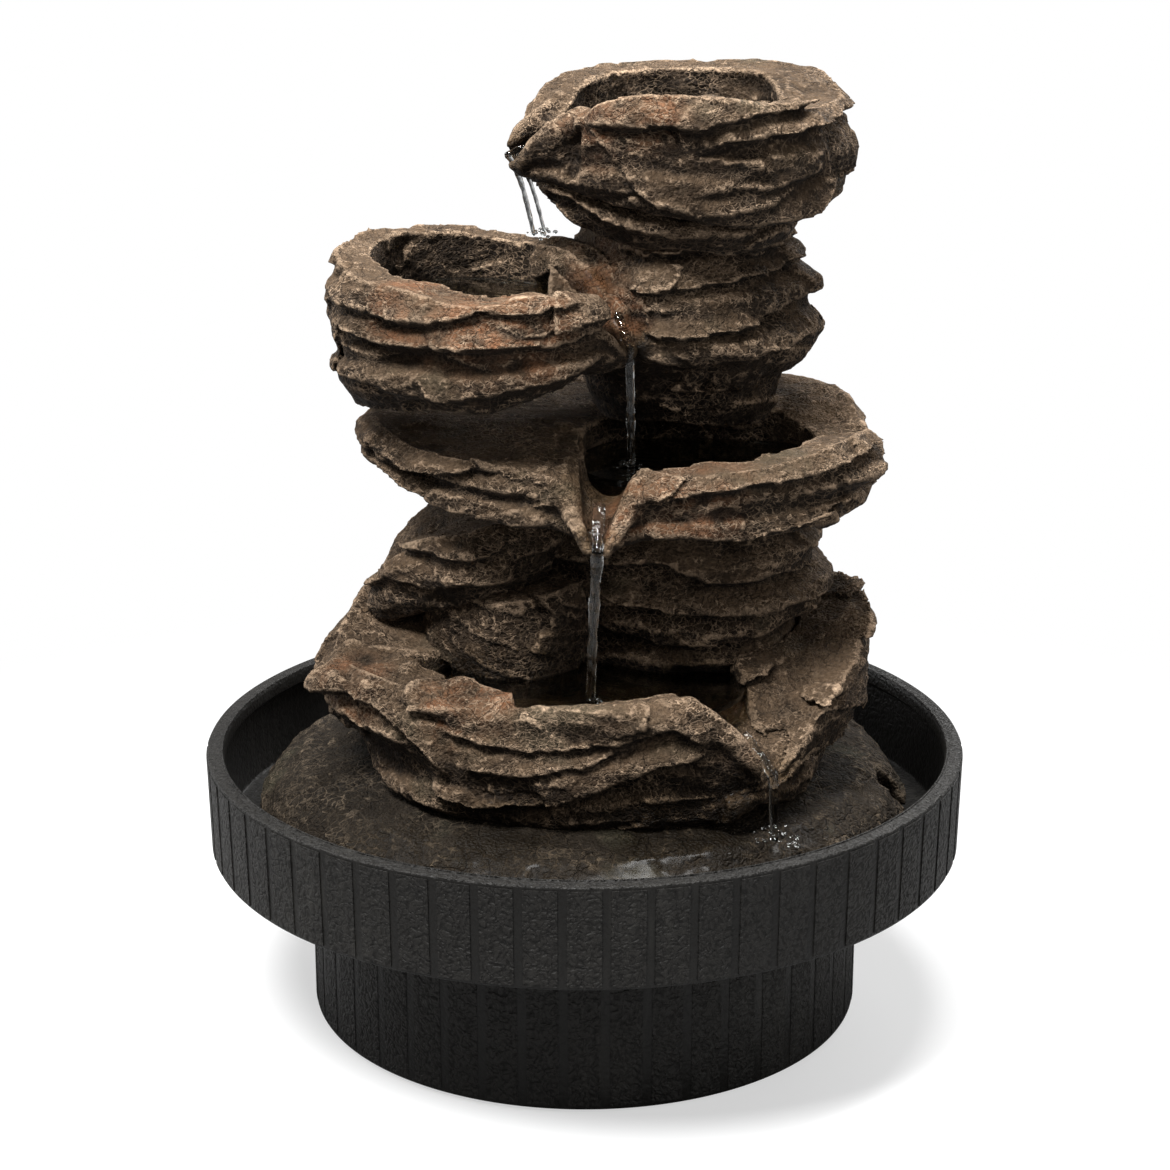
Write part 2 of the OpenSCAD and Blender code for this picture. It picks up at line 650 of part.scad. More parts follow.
basin();
foot_pads();
base_plate();
hose_grommet();
lower_tier();
back_column();
streaked_boulder();
left_boulder();
side_stone();
third_tier();
neck();
second_bowl();
under_slab();
top_bowl();
riser_hose();
outlet_fitting();
pump_housing();
stator_core();
stator_coils();
potting();
cable_gland();
chamber_seal();
chamber_cover();
hose_nozzle();
shaft();
rear_bush();
front_bush();
suction_cups();
rotor_magnet();
impeller();
intake_cover();
filter_foam();
flow_regulator();
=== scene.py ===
import json
import math
import time

import bmesh
import bpy
import numpy as np
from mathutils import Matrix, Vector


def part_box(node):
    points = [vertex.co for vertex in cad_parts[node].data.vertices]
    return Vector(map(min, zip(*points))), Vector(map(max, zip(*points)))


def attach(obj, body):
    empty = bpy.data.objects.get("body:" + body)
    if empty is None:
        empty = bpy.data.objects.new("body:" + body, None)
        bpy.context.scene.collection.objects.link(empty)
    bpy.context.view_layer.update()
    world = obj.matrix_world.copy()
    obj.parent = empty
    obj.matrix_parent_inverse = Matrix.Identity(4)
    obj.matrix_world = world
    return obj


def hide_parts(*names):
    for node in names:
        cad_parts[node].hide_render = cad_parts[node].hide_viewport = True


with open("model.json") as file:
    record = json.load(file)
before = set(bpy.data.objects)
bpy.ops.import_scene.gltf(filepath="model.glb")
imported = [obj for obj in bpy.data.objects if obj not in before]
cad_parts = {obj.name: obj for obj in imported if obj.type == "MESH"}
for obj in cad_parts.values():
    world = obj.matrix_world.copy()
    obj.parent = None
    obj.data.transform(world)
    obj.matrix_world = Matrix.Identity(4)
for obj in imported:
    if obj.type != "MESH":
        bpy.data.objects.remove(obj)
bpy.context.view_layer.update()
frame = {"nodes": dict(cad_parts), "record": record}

import openvdb
from mathutils import Vector

startTime = time.time()
mm = 0.001


def say(text):
    print("%6.1f s  %s" % (time.time() - startTime, text), flush=True)


view = {"place": (0.00013, -0.715, 0.350), "pitch": 0.310, "lens": 83.8}
cameraData = bpy.data.cameras.new("camera")
cameraData.lens = view["lens"]
cameraData.sensor_width = 36
camera = bpy.data.objects.new("camera", cameraData)
camera.location = view["place"]
camera.rotation_euler = (math.pi / 2 - view["pitch"], 0, 0)
bpy.context.scene.collection.objects.link(camera)
bpy.context.scene.camera = camera

studio = {
    "lamps": [
        ("keyLamp", (-0.36, -0.46, 1.02), 0.32, 17.0),
        ("fillLamp", (0.80, -0.60, 0.55), 0.60, 2.6),
        ("topLamp", (0.10, 0.05, 1.05), 0.40, 13.0),
        ("backLamp", (0.45, 0.75, 0.60), 0.60, 4.5),
        ("sideLamp", (-0.75, 0.45, 0.40), 0.60, 3.0),
    ],
    "aim": (0.0, 0.0, 0.12),
    "sky": 0.15, "seenSky": 1.0,
}
for lampName, lampPlace, lampSize, lampPower in studio["lamps"]:
    lampData = bpy.data.lights.new(lampName, "AREA")
    lampData.shape = "DISK"
    lampData.size = lampSize
    lampData.energy = lampPower
    lamp = bpy.data.objects.new(lampName, lampData)
    lamp.location = lampPlace
    lamp.rotation_euler = (Vector(lampPlace) - Vector(studio["aim"])).to_track_quat("Z", "Y").to_euler()
    bpy.context.scene.collection.objects.link(lamp)

world = bpy.data.worlds.new("studioSky")
world.use_nodes = True
bpy.context.scene.world = world
bpy.context.scene.view_settings.view_transform = "Standard"


def put(tree, kind, values=None, **settings):
    made = tree.nodes.new(kind)
    for name, value in settings.items():
        setattr(made, name, value)
    for key, value in (values or {}).items():
        if isinstance(value, bpy.types.NodeSocket):
            tree.links.new(value, made.inputs[key])
        else:
            made.inputs[key].default_value = value
    return made


def calc(tree, operation, *values, clamp=False):
    kept = {i: v for i, v in enumerate(values)}
    return put(tree, "ShaderNodeMath", kept, operation=operation, use_clamp=clamp).outputs[0]


def ramp(tree, value, low, high, toLow=0.0, toHigh=1.0):
    return put(tree, "ShaderNodeMapRange", {0: value, 1: low, 2: high, 3: toLow, 4: toHigh},
               interpolation_type="SMOOTHSTEP").outputs[0]


def vectorCalc(tree, operation, first, second):
    return put(tree, "ShaderNodeVectorMath", {0: first, 1: second}, operation=operation).outputs[0]


def scaled(tree, first, share):
    return put(tree, "ShaderNodeVectorMath", {0: first, "Scale": share}, operation="SCALE").outputs[0]


def warped(tree, where, scale, detail, reach):
    # a place pushed about by noise, so that what is laid on it doesn't run straight
    wobble = put(tree, "ShaderNodeTexNoise", {"Vector": where, "Scale": scale, "Detail": detail})
    shift = vectorCalc(tree, "SUBTRACT", wobble.outputs[1], (0.5, 0.5, 0.5))
    return vectorCalc(tree, "ADD", where, scaled(tree, shift, reach))


def blendColour(tree, share, first, second, how="MIX"):
    return put(tree, "ShaderNodeMix", {0: share, 6: first, 7: second},
               data_type="RGBA", blend_type=how).outputs[2]


def rgb(r, g, b):
    return (r, g, b, 1.0)


def makeGroup(name, inputs, outputs):
    tree = bpy.data.node_groups.new(name, "ShaderNodeTree")
    for title, kind, value in inputs:
        socket = tree.interface.new_socket(title, in_out="INPUT", socket_type=kind)
        if value is not None:
            socket.default_value = value
    for title, kind in outputs:
        tree.interface.new_socket(title, in_out="OUTPUT", socket_type=kind)
    return tree, tree.nodes.new("NodeGroupInput"), tree.nodes.new("NodeGroupOutput")


number = "NodeSocketFloat"
vector = "NodeSocketVector"


def buildGrain():
    # a fine leathery or sandy grain: a mask of the pits and a height
    tree, given, out = makeGroup("fineGrain", [
        ("Vector", vector, None), ("Scale", number, 900.0), ("Warp", number, 0.4)],
        [("Pits", number), ("Height", number)])
    moved = warped(tree, given.outputs[0], 260.0, 2.0, calc(tree, "MULTIPLY", given.outputs[2], 0.004))
    cells = put(tree, "ShaderNodeTexVoronoi", {"Vector": moved, "Scale": given.outputs[1]},
                feature="SMOOTH_F1")
    speck = put(tree, "ShaderNodeTexNoise", {
        "Vector": given.outputs[0], "Scale": calc(tree, "MULTIPLY", given.outputs[1], 2.2), "Detail": 2.0})
    pits = ramp(tree, cells.outputs["Distance"], 0.25, 0.75)
    tree.links.new(pits, out.inputs[0])
    tree.links.new(calc(tree, "SUBTRACT", calc(tree, "MULTIPLY", speck.outputs[0], 0.5), pits), out.inputs[1])
    return tree


def buildCrackle():
    # a net of fine cracks between rounded grains
    tree, given, out = makeGroup("crackleNet", [
        ("Vector", vector, None), ("Scale", number, 180.0), ("Width", number, 0.10), ("Warp", number, 0.004)],
        [("Net", number), ("Height", number)])
    cellSize = calc(tree, "MULTIPLY", given.outputs[1], 0.9)
    moved = warped(tree, given.outputs[0], cellSize, 3.0, given.outputs[3])
    flat = vectorCalc(tree, "MULTIPLY", moved, (1.0, 1.0, 1.7))
    net = put(tree, "ShaderNodeTexVoronoi", {"Vector": flat, "Scale": given.outputs[1]},
              feature="DISTANCE_TO_EDGE")
    line = ramp(tree, net.outputs["Distance"], 0.0, given.outputs[2], 1.0, 0.0)
    fade = put(tree, "ShaderNodeTexNoise", {"Vector": given.outputs[0], "Scale": 70.0, "Detail": 2.0})
    kept = calc(tree, "MULTIPLY", line, ramp(tree, fade.outputs[0], 0.32, 0.56))
    tree.links.new(kept, out.inputs[0])
    tree.links.new(calc(tree, "MULTIPLY", kept, -1.0), out.inputs[1])
    return tree


def buildFacets():
    # chipped faces: flat from border to border, each tilted its own way, with thin lines where they meet
    tree, given, out = makeGroup("chippedFacets", [
        ("Vector", vector, None), ("Scale", number, 150.0), ("Flat", number, 2.0), ("Warp", number, 0.008),
        ("Width", number, 0.05)],
        [("Height", number), ("Border", number)])
    chipSize = calc(tree, "MULTIPLY", given.outputs[1], 0.7)
    moved = warped(tree, given.outputs[0], chipSize, 3.0, given.outputs[3])
    tall = calc(tree, "MULTIPLY", given.outputs[1], given.outputs[2])
    sizes = put(tree, "ShaderNodeCombineXYZ", {0: given.outputs[1], 1: given.outputs[1], 2: tall}).outputs[0]
    flat = vectorCalc(tree, "MULTIPLY", moved, sizes)
    cells = put(tree, "ShaderNodeTexVoronoi", {"Vector": flat, "Scale": 1.0})
    tilt = vectorCalc(tree, "SUBTRACT", cells.outputs["Color"], (0.5, 0.5, 0.5))
    gap = vectorCalc(tree, "SUBTRACT", flat, cells.outputs["Position"])
    slope = put(tree, "ShaderNodeVectorMath", {0: gap, 1: tilt}, operation="DOT_PRODUCT").outputs["Value"]
    step = put(tree, "ShaderNodeSeparateXYZ", {0: tilt}).outputs[0]
    tree.links.new(calc(tree, "ADD", slope, calc(tree, "MULTIPLY", step, 0.5)), out.inputs[0])
    border = put(tree, "ShaderNodeTexVoronoi", {"Vector": flat, "Scale": 1.0}, feature="DISTANCE_TO_EDGE")
    tree.links.new(ramp(tree, border.outputs["Distance"], 0.0, given.outputs[4], 1.0, 0.0), out.inputs[1])
    return tree


def buildBrush():
    # paint dragged over the high places: it catches on edges, on chip borders and on grain
    tree, given, out = makeGroup("dryBrush", [
        ("Vector", vector, None), ("Edge", number, 0.0), ("Net", number, 0.0), ("Low", number, 0.2),
        ("High", number, 0.6), ("Border", number, 0.0)],
        [("Mask", number)])
    broad = put(tree, "ShaderNodeTexNoise", {"Vector": given.outputs[0], "Scale": 55.0, "Detail": 3.0})
    grit = put(tree, "ShaderNodeTexNoise", {"Vector": given.outputs[0], "Scale": 900.0, "Detail": 3.0})
    patch = ramp(tree, broad.outputs[0], 0.38, 0.66)
    broken = calc(tree, "MULTIPLY", given.outputs[1],
        calc(tree, "ADD", calc(tree, "MULTIPLY", grit.outputs[0], 1.1), 0.35))
    edge = ramp(tree, broken, given.outputs[3], given.outputs[4])
    edge = calc(tree, "MULTIPLY", edge, calc(tree, "ADD", calc(tree, "MULTIPLY", patch, 0.65), 0.35))
    lines = calc(tree, "MAXIMUM", given.outputs[2], calc(tree, "MULTIPLY", given.outputs[5], 0.45))
    specks = ramp(tree, grit.outputs[0], 0.52, 0.68)
    netted = calc(tree, "MULTIPLY", calc(tree, "MAXIMUM", lines, calc(tree, "MULTIPLY", specks, 0.45)),
                  calc(tree, "ADD", calc(tree, "MULTIPLY", patch, 0.42), 0.14))
    worn = calc(tree, "MULTIPLY", ramp(tree, given.outputs[1], 0.0, 0.45),
        calc(tree, "MULTIPLY", calc(tree, "MAXIMUM", lines, calc(tree, "MULTIPLY", specks, 0.6)), 0.8))
    netted = calc(tree, "MAXIMUM", netted, worn)
    tree.links.new(calc(tree, "MAXIMUM", edge, netted, clamp=True), out.inputs[0])
    return tree


def buildScuff():
    # faint wipes, dust and water marks on moulded and metal parts
    tree, given, out = makeGroup("scuffs", [
        ("Vector", vector, None), ("Scale", number, 30.0), ("Amount", number, 0.5)], [("Mask", number)])
    cloud = put(tree, "ShaderNodeTexNoise", {"Vector": given.outputs[0], "Scale": given.outputs[1],
        "Detail": 5.0})
    streak = vectorCalc(tree, "MULTIPLY", given.outputs[0], (1.0, 1.0, 0.12))
    lines = put(tree, "ShaderNodeTexNoise", {"Vector": streak, "Scale": 420.0, "Detail": 3.0})
    both = calc(tree, "MULTIPLY", ramp(tree, cloud.outputs[0], 0.42, 0.72),
        ramp(tree, lines.outputs[0], 0.35, 0.75))
    tree.links.new(calc(tree, "MULTIPLY", both, given.outputs[2], clamp=True), out.inputs[0])
    return tree


grainGroup, crackleGroup, facetGroup = buildGrain(), buildCrackle(), buildFacets()
brushGroup, scuffGroup = buildBrush(), buildScuff()

# the backdrop is seen white, and lights the object more gently than that
skyTree = world.node_tree
skyBack = skyTree.nodes["Background"]
skyBack.inputs["Color"].default_value = (1, 1, 1, 1)
seen = put(skyTree, "ShaderNodeLightPath").outputs["Is Camera Ray"]
skyTree.links.new(ramp(skyTree, seen, 0.0, 1.0, studio["sky"], studio["seenSky"]), skyBack.inputs["Strength"])


def startMaterial(name):
    made = bpy.data.materials.new(name)
    made.use_nodes = True
    tree = made.node_tree
    tree.nodes.clear()
    shader = put(tree, "ShaderNodeBsdfPrincipled")
    put(tree, "ShaderNodeOutputMaterial", {0: shader.outputs[0]})
    where = put(tree, "ShaderNodeTexCoord").outputs["Object"]
    return made, tree, shader, where


def useGroup(tree, group, values):
    return put(tree, "ShaderNodeGroup", values, node_tree=group)


def attribute(tree, name):
    return put(tree, "ShaderNodeAttribute", attribute_name=name).outputs["Fac"]


def bumpInto(tree, shader, height, strength, distance):
    bump = put(tree, "ShaderNodeBump", {"Height": height, "Strength": strength, "Distance": distance})
    tree.links.new(bump.outputs[0], shader.inputs["Normal"])


stonePaint = {
    # the deepest colour: dark grain and cracks, and also painted shade in hollows and on down-facing faces
    "deepCrackAndShade": rgb(0.010, 0.007, 0.005),
    "dark": rgb(0.026, 0.017, 0.010),
    "body": rgb(0.056, 0.035, 0.020),
    "tan": rgb(0.138, 0.091, 0.055),
    "rust": rgb(0.205, 0.092, 0.044),
    "green": rgb(0.062, 0.060, 0.038),
    "brush": rgb(0.47, 0.335, 0.225),
    "wetTint": rgb(0.55, 0.50, 0.38),
    "dryRough": 0.78, "wetRough": 0.42,
}


def stoneMaterial(name, paint, tanShare, crackleScale):
    made, tree, shader, where = startMaterial(name)
    wear, hollowShade = attribute(tree, "wear"), attribute(tree, "hollowShade")
    wet, rust, pale = attribute(tree, "wet"), attribute(tree, "rust"), attribute(tree, "pale")
    lean = attribute(tree, "lean")
    broad = put(tree, "ShaderNodeTexNoise", {"Vector": where, "Scale": 38.0, "Detail": 4.0}).outputs[0]
    middle = put(tree, "ShaderNodeTexNoise", {"Vector": where, "Scale": 170.0, "Detail": 5.0}).outputs[0]
    fine = put(tree, "ShaderNodeTexNoise", {"Vector": where, "Scale": 1100.0, "Detail": 4.0}).outputs[0]
    net = useGroup(tree, crackleGroup, {"Vector": where, "Scale": crackleScale, "Width": 0.10, "Warp": 0.003})
    wideNet = useGroup(tree, crackleGroup, {"Vector": where, "Scale": crackleScale * 0.36, "Width": 0.045,
        "Warp": 0.012})
    grain = useGroup(tree, grainGroup, {"Vector": where, "Scale": 1300.0, "Warp": 0.3})
    chips = useGroup(tree, facetGroup, {"Vector": where, "Scale": 125.0, "Flat": 2.1, "Warp": 0.008,
        "Width": 0.035})
    smallChips = useGroup(tree, facetGroup, {"Vector": where, "Scale": 330.0, "Flat": 1.8, "Warp": 0.004,
        "Width": 0.06})
    brush = useGroup(tree, brushGroup, {
        "Vector": where, "Edge": wear, "Net": net.outputs[0], "Low": 0.46, "High": 1.12,
        "Border": chips.outputs[1]})
    mixed = calc(tree, "ADD", calc(tree, "MULTIPLY", broad, 0.55), calc(tree, "MULTIPLY", middle, 0.45))
    colour = blendColour(tree, ramp(tree, mixed, 0.36, 0.60), paint["dark"], paint["body"])
    # painted light: up-facing faces get more tan, partly the dry-brushed paint, partly painted light from
    # above
    paintedTopLight = ramp(tree, lean, 0.15, 0.90)
    tanMask = calc(tree, "MULTIPLY",
        ramp(tree, calc(tree, "ADD", mixed, calc(tree, "MULTIPLY", paintedTopLight, 0.14)), 0.46, 0.66), tanShare)
    tanMask = calc(tree, "MAXIMUM", tanMask, calc(tree, "MULTIPLY", pale, 0.8), clamp=True)
    colour = blendColour(tree, tanMask, colour, paint["tan"])
    colour = blendColour(tree, calc(tree, "MULTIPLY", rust, ramp(tree, middle, 0.30, 0.62), clamp=True),
        colour, paint["rust"])
    greenMask = calc(tree, "MULTIPLY", ramp(tree, broad, 0.56, 0.70), 0.45)
    colour = blendColour(tree, greenMask, colour, paint["green"])
    colour = blendColour(tree, ramp(tree, fine, 0.30, 0.75, 0.0, 0.42), colour, paint["deepCrackAndShade"])
    # painted shade: recesses and creases are darkened towards the deep colour
    colour = blendColour(tree, calc(tree, "MULTIPLY", hollowShade, 0.92, clamp=True), colour, paint["deepCrackAndShade"])
    # painted shade: steep and down-facing faces are darkened towards the deep colour, partly also the darker
    # paint the dry brush misses
    colour = blendColour(tree, ramp(tree, lean, -0.45, 0.80, 0.94, 0.0), colour, paint["deepCrackAndShade"])
    cracked = calc(tree, "MULTIPLY", wideNet.outputs[0], 0.35)
    colour = blendColour(tree, cracked, colour, paint["deepCrackAndShade"])
    brushMask = calc(tree, "MULTIPLY", brush.outputs[0],
        calc(tree, "SUBTRACT", 1.0, calc(tree, "MULTIPLY", wet, 0.75)))
    brushMask = calc(tree, "MULTIPLY", brushMask, ramp(tree, lean, -0.7, 0.2, 0.35, 1.0))
    colour = blendColour(tree, brushMask, colour, paint["brush"])
    colour = blendColour(tree, calc(tree, "MULTIPLY", wet, 0.85), colour,
                         blendColour(tree, 1.0, colour, paint["wetTint"], "MULTIPLY"))
    tree.links.new(colour, shader.inputs["Base Color"])
    shader.inputs["Specular IOR Level"].default_value = 0.12
    shader.inputs["Coat Roughness"].default_value = 0.22
    tree.links.new(calc(tree, "MULTIPLY", ramp(tree, wet, 0.45, 1.0), 0.16, clamp=True),
        shader.inputs["Coat Weight"])
    patchy = calc(tree, "ADD", ramp(tree, middle, 0.3, 0.7, -0.06, 0.08), paint["dryRough"])
    gap = calc(tree, "MULTIPLY", wet, paint["dryRough"] - paint["wetRough"])
    tree.links.new(calc(tree, "SUBTRACT", patchy, gap, clamp=True), shader.inputs["Roughness"])
    height = calc(tree, "MULTIPLY", grain.outputs[1], 0.32)
    for relief, share in ((fine, 0.8), (net.outputs[1], 0.35), (wideNet.outputs[1], 0.6), (middle, 0.8),
                          (chips.outputs[0], 2.2), (smallChips.outputs[0], 0.8)):
        height = calc(tree, "ADD", height, calc(tree, "MULTIPLY", relief, share))
    bumpInto(tree, shader, height, 1.0, 0.0010)
    return made


castStone = stoneMaterial("castStone", stonePaint, 0.65, 420.0)
wetStone = stoneMaterial("wetStone", dict(
    stonePaint, dark=rgb(0.012, 0.009, 0.006), body=rgb(0.012, 0.009, 0.006), tan=rgb(0.032, 0.024, 0.016),
    brush=rgb(0.17, 0.13, 0.09)), 0.30, 300.0)


class latticeNoise:
    def __init__(self, seed):
        dice = np.random.default_rng(seed)
        self.order = dice.permutation(256).astype(np.int32)
        arrows = dice.normal(size=(256, 3)).astype(np.float32)
        self.arrows = arrows / np.linalg.norm(arrows, axis=1)[:, None]

    def at(self, points, size, shift=0.0):
        q = points / np.asarray(size, np.float32) + np.float32(shift)
        base = np.floor(q).astype(np.int32)
        f = q - base
        w = f * f * f * (f * (f * 6 - 15) + 10)
        total = np.zeros(len(q), np.float32)
        for dx in (0, 1):
            hx = self.order[(base[:, 0] + dx) & 255]
            wx = w[:, 0] if dx else 1 - w[:, 0]
            for dy in (0, 1):
                hy = self.order[(hx + base[:, 1] + dy) & 255]
                wy = wx * (w[:, 1] if dy else 1 - w[:, 1])
                for dz in (0, 1):
                    arrow = self.arrows[self.order[(hy + base[:, 2] + dz) & 255]]
                    dot = (arrow[:, 0] * (f[:, 0] - dx) + arrow[:, 1] * (f[:, 1] - dy)
                        + arrow[:, 2] * (f[:, 2] - dz))
                    total += dot * wy * (w[:, 2] if dz else 1 - w[:, 2])
        return total * 1.6


rough = latticeNoise(11)


def smooth(value, low, high):
    t = np.clip((value - low) / (high - low), 0, 1)
    return t * t * (3 - 2 * t)


def chance(k, seed):
    # one number from 0 to 1 for each whole number k
    return np.abs(np.modf(np.sin(k * 12.9898 + seed * 78.233) * 43758.5453)[0]).astype(np.float32)


def capsule(grid, a, b, ra, rb, squash=1.0):
    a, b = np.array(a, np.float32), np.array(b, np.float32)
    run = b - a
    px, py, pz = grid[0] - a[0], grid[1] - a[1], (grid[2] - a[2])
    t = np.clip((px * run[0] + py * run[1] + pz * run[2]) / float(run @ run), 0, 1)
    dx, dy, dz = px - run[0] * t, py - run[1] * t, (pz - run[2] * t) / squash
    return np.sqrt(dx * dx + dy * dy + dz * dz) - (ra + (rb - ra) * t)


def ridge(grid, path, squash=1.0):
    # path of (x, y, z, radius)
    best = None
    for a, b in zip(path[:-1], path[1:]):
        d = capsule(grid, a[:3], b[:3], a[3], b[3], squash)
        best = d if best is None else np.minimum(best, d)
    return best


def slab(grid, middle, along, up, halves, round=1.0):
    # a rounded block: along and up are directions, halves its three half sizes
    along = np.array(along, float)
    along /= np.linalg.norm(along)
    up = np.array(up, float)
    up -= along * (up @ along)
    up /= np.linalg.norm(up)
    side = np.cross(up, along)
    rel = [grid[k] - middle[k] for k in range(3)]
    total, deepest = 0.0, None
    for axis, half in zip((along, side, up), halves):
        q = np.abs(rel[0] * axis[0] + rel[1] * axis[1] + rel[2] * axis[2]) - (half - round)
        total = total + np.maximum(q, 0) ** 2
        deepest = q if deepest is None else np.maximum(deepest, q)
    return np.sqrt(total) + np.minimum(deepest, 0) - round


def uneven(field, grid, size, amount):
    # wander the edge of a shape in or out
    near = np.abs(field) < 3 * amount
    points = np.stack([np.broadcast_to(part, field.shape)[near] for part in grid], axis=1).astype(np.float32)
    field = field.copy()
    field[near] += rough.at(points, size, 61) * amount
    return field


def joinSoft(a, b, k):
    h = np.clip(0.5 + 0.5 * (b - a) / k, 0, 1)
    return b * (1 - h) + a * h - k * h * (1 - h)


def cutSoft(a, b, k):
    return -joinSoft(-a, b, k)


def layers(points, settings, seed):
    # stacked plates: each stands out most at its crisp lower edge and has its own outline
    wave = rough.at(points, (34, 34, 46), seed) * settings["wave"] + rough.at(points, 11, seed + 3) * 0.8
    h = points[:, 2] + points[:, 0] * settings["dip"][0] + points[:, 1] * settings["dip"][1] + wave
    total = np.zeros(len(points), np.float32)
    coarse = (settings["thick"], settings["reach"], 0.0)
    thin = (settings["thick"] * 0.43, settings["reach"] * 0.42, 5.0)
    for thick, reach, salt in (coarse, thin):
        t = h / thick + 0.30 * rough.at(points, (23, 23, 30), seed + salt)
        k = np.floor(t)
        f = t - k
        turned = np.stack([points[:, 0] + k * 13.7, points[:, 1] - k * 9.1, points[:, 2] * 0.4],
            axis=1).astype(np.float32)
        outline = (0.5 + 0.75 * rough.at(turned, (19, 19, 30), seed + salt + 1)
            + 0.35 * rough.at(turned, (7, 7, 12), seed + salt + 2))
        strong = np.clip(outline * (0.45 + 0.75 * chance(k, seed + salt)), -0.15, 1.15)
        lip = smooth(f, 0.0, 0.9 / thick) * (1 - f) ** 0.75
        total += reach * strong * lip
    return total


def flakes(points, settings, seed):
    # thin scales with steep steps between them
    tilt = points.copy()
    tilt[:, 2] += points[:, 0] * settings["dip"][0] + points[:, 1] * settings["dip"][1]
    q = rough.at(tilt, (15, 15, 8), seed + 8) * 1.9 + rough.at(tilt, (6, 6, 3.4), seed + 9) * 0.55
    k = np.floor(q)
    f = q - k
    stepped = k + smooth(f, 0.0, 0.16)
    return settings["flake"] * (stepped - q * 0.5)


def facets(points, size, amount, seed):
    # flat chips, each tilted its own way
    q = points / np.asarray(size, np.float32) + np.float32(seed * 3.7)
    base = np.floor(q - 0.5).astype(np.int32)
    nearest = np.full(len(q), 1e9, np.float32)
    result = np.zeros(len(q), np.float32)
    for dx in (0, 1):
        for dy in (0, 1):
            for dz in (0, 1):
                cell = base + np.array([dx, dy, dz], np.int32)
                code = rough.order[(rough.order[(rough.order[cell[:, 0] & 255] + cell[:, 1]) & 255]
                    + cell[:, 2]) & 255]
                arrow = rough.arrows[code]
                rel = q - cell - 0.5 - arrow * 0.42
                far = (rel * rel).sum(1)
                tilt = rough.arrows[(code + 97) & 255]
                value = (rel * tilt).sum(1) * 1.2 + tilt[:, 0] * 0.35
                closer = far < nearest
                result = np.where(closer, value, result)
                nearest = np.where(closer, far, nearest)
    return result * amount


def ledge(points, path, reach, rise, under=1.5, width=10.0, seed=0):
    # a layer that stands out above a line on the surface, with a sharp lower edge and a groove below it
    path = np.array(path, np.float32)
    best = np.full(len(points), 1e9, np.float32)
    height = np.zeros(len(points), np.float32)
    share = np.zeros(len(points), np.float32)
    lengths = np.linalg.norm(np.diff(path[:, :2], axis=0), axis=1)
    total, gone = lengths.sum(), 0.0
    for a, b, length in zip(path[:-1], path[1:], lengths):
        run = b[:2] - a[:2]
        t = np.clip(((points[:, 0] - a[0]) * run[0] + (points[:, 1] - a[1]) * run[1]) / float(run @ run),
            0, 1)
        d = np.hypot(points[:, 0] - a[0] - run[0] * t, points[:, 1] - a[1] - run[1] * t)
        d = d + 0.35 * np.abs(points[:, 2] - (a[2] + (b[2] - a[2]) * t))
        closer = d < best
        best = np.where(closer, d, best)
        height = np.where(closer, a[2] + (b[2] - a[2]) * t, height)
        share = np.where(closer, (gone + length * t) / total, share)
        gone += length
    ragged = (rough.at(points, (10, 10, 16), seed + 50) * 1.1
        + rough.at(points, (3.2, 3.2, 6), seed + 51) * 0.5)
    dz = points[:, 2] - height + ragged
    above = smooth(dz, -0.1, 0.7) * np.clip(1 - dz / rise, 0, 1)
    below = smooth(-dz, 0.0, 0.9) * np.clip(1 + dz / 5.5, 0, 1)
    fade = smooth(share, 0.0, 0.10) * smooth(1 - share, 0.0, 0.10) * (1 - smooth(best, width * 0.6, width))
    return (reach * above - under * below) * fade


def readSurface(node, voxel, halo):
    data = frame["nodes"][node].data
    data.calc_loop_triangles()
    co = np.zeros(len(data.vertices) * 3, np.float32)
    data.vertices.foreach_get("co", co)
    co = co.reshape(-1, 3) / mm
    tris = np.zeros(len(data.loop_triangles) * 3, np.int32)
    data.loop_triangles.foreach_get("vertices", tris)
    line = openvdb.createLinearTransform(voxelSize=voxel)
    grid = openvdb.FloatGrid.createLevelSetFromPolygons(
        points=co, triangles=tris.reshape(-1, 3).astype(np.uint32), transform=line, halfWidth=halo / voxel)
    low = np.floor((co.min(0) - halo) / voxel).astype(int)
    high = np.ceil((co.max(0) + halo) / voxel).astype(int)
    field = np.zeros(tuple(high - low + 1), np.float32)
    grid.copyToArray(field, ijk=tuple(int(v) for v in low))
    axes = [(np.arange(field.shape[k], dtype=np.float32) + low[k]) * voxel for k in range(3)]
    coords = np.meshgrid(*axes, indexing="ij", sparse=True)
    return field, coords, low


def readMesh(field, low, voxel, halo):
    grid = openvdb.FloatGrid(halo)
    grid.transform = openvdb.createLinearTransform(voxelSize=voxel)
    grid.copyFromArray(np.ascontiguousarray(field), ijk=tuple(int(v) for v in low), tolerance=0.0)
    points, quads = grid.convertToQuads(isovalue=0.0)
    quads = quads.astype(np.int64)
    # only the largest connected shell is kept
    label = np.arange(len(points))
    ends = np.concatenate([quads[:, [0, 1]], quads[:, [1, 2]], quads[:, [2, 3]]])
    while True:
        least = np.minimum(label[ends[:, 0]], label[ends[:, 1]])
        before = label.copy()
        np.minimum.at(label, ends[:, 0], least)
        np.minimum.at(label, ends[:, 1], least)
        label = label[label]
        if (label == before).all():
            break
    main = np.bincount(label).argmax()
    kept = label == main
    index = np.cumsum(kept) - 1
    quads = index[quads[kept[quads[:, 0]]]]
    return points[kept], quads


def vertexNormals(points, quads):
    cross = np.cross(points[quads[:, 2]] - points[quads[:, 0]], points[quads[:, 3]] - points[quads[:, 1]])
    total = np.zeros_like(points)
    for k in range(3):
        for c in range(4):
            total[:, k] += np.bincount(quads[:, c], cross[:, k], len(points))
    return total / np.maximum(np.linalg.norm(total, axis=1), 1e-9)[:, None]


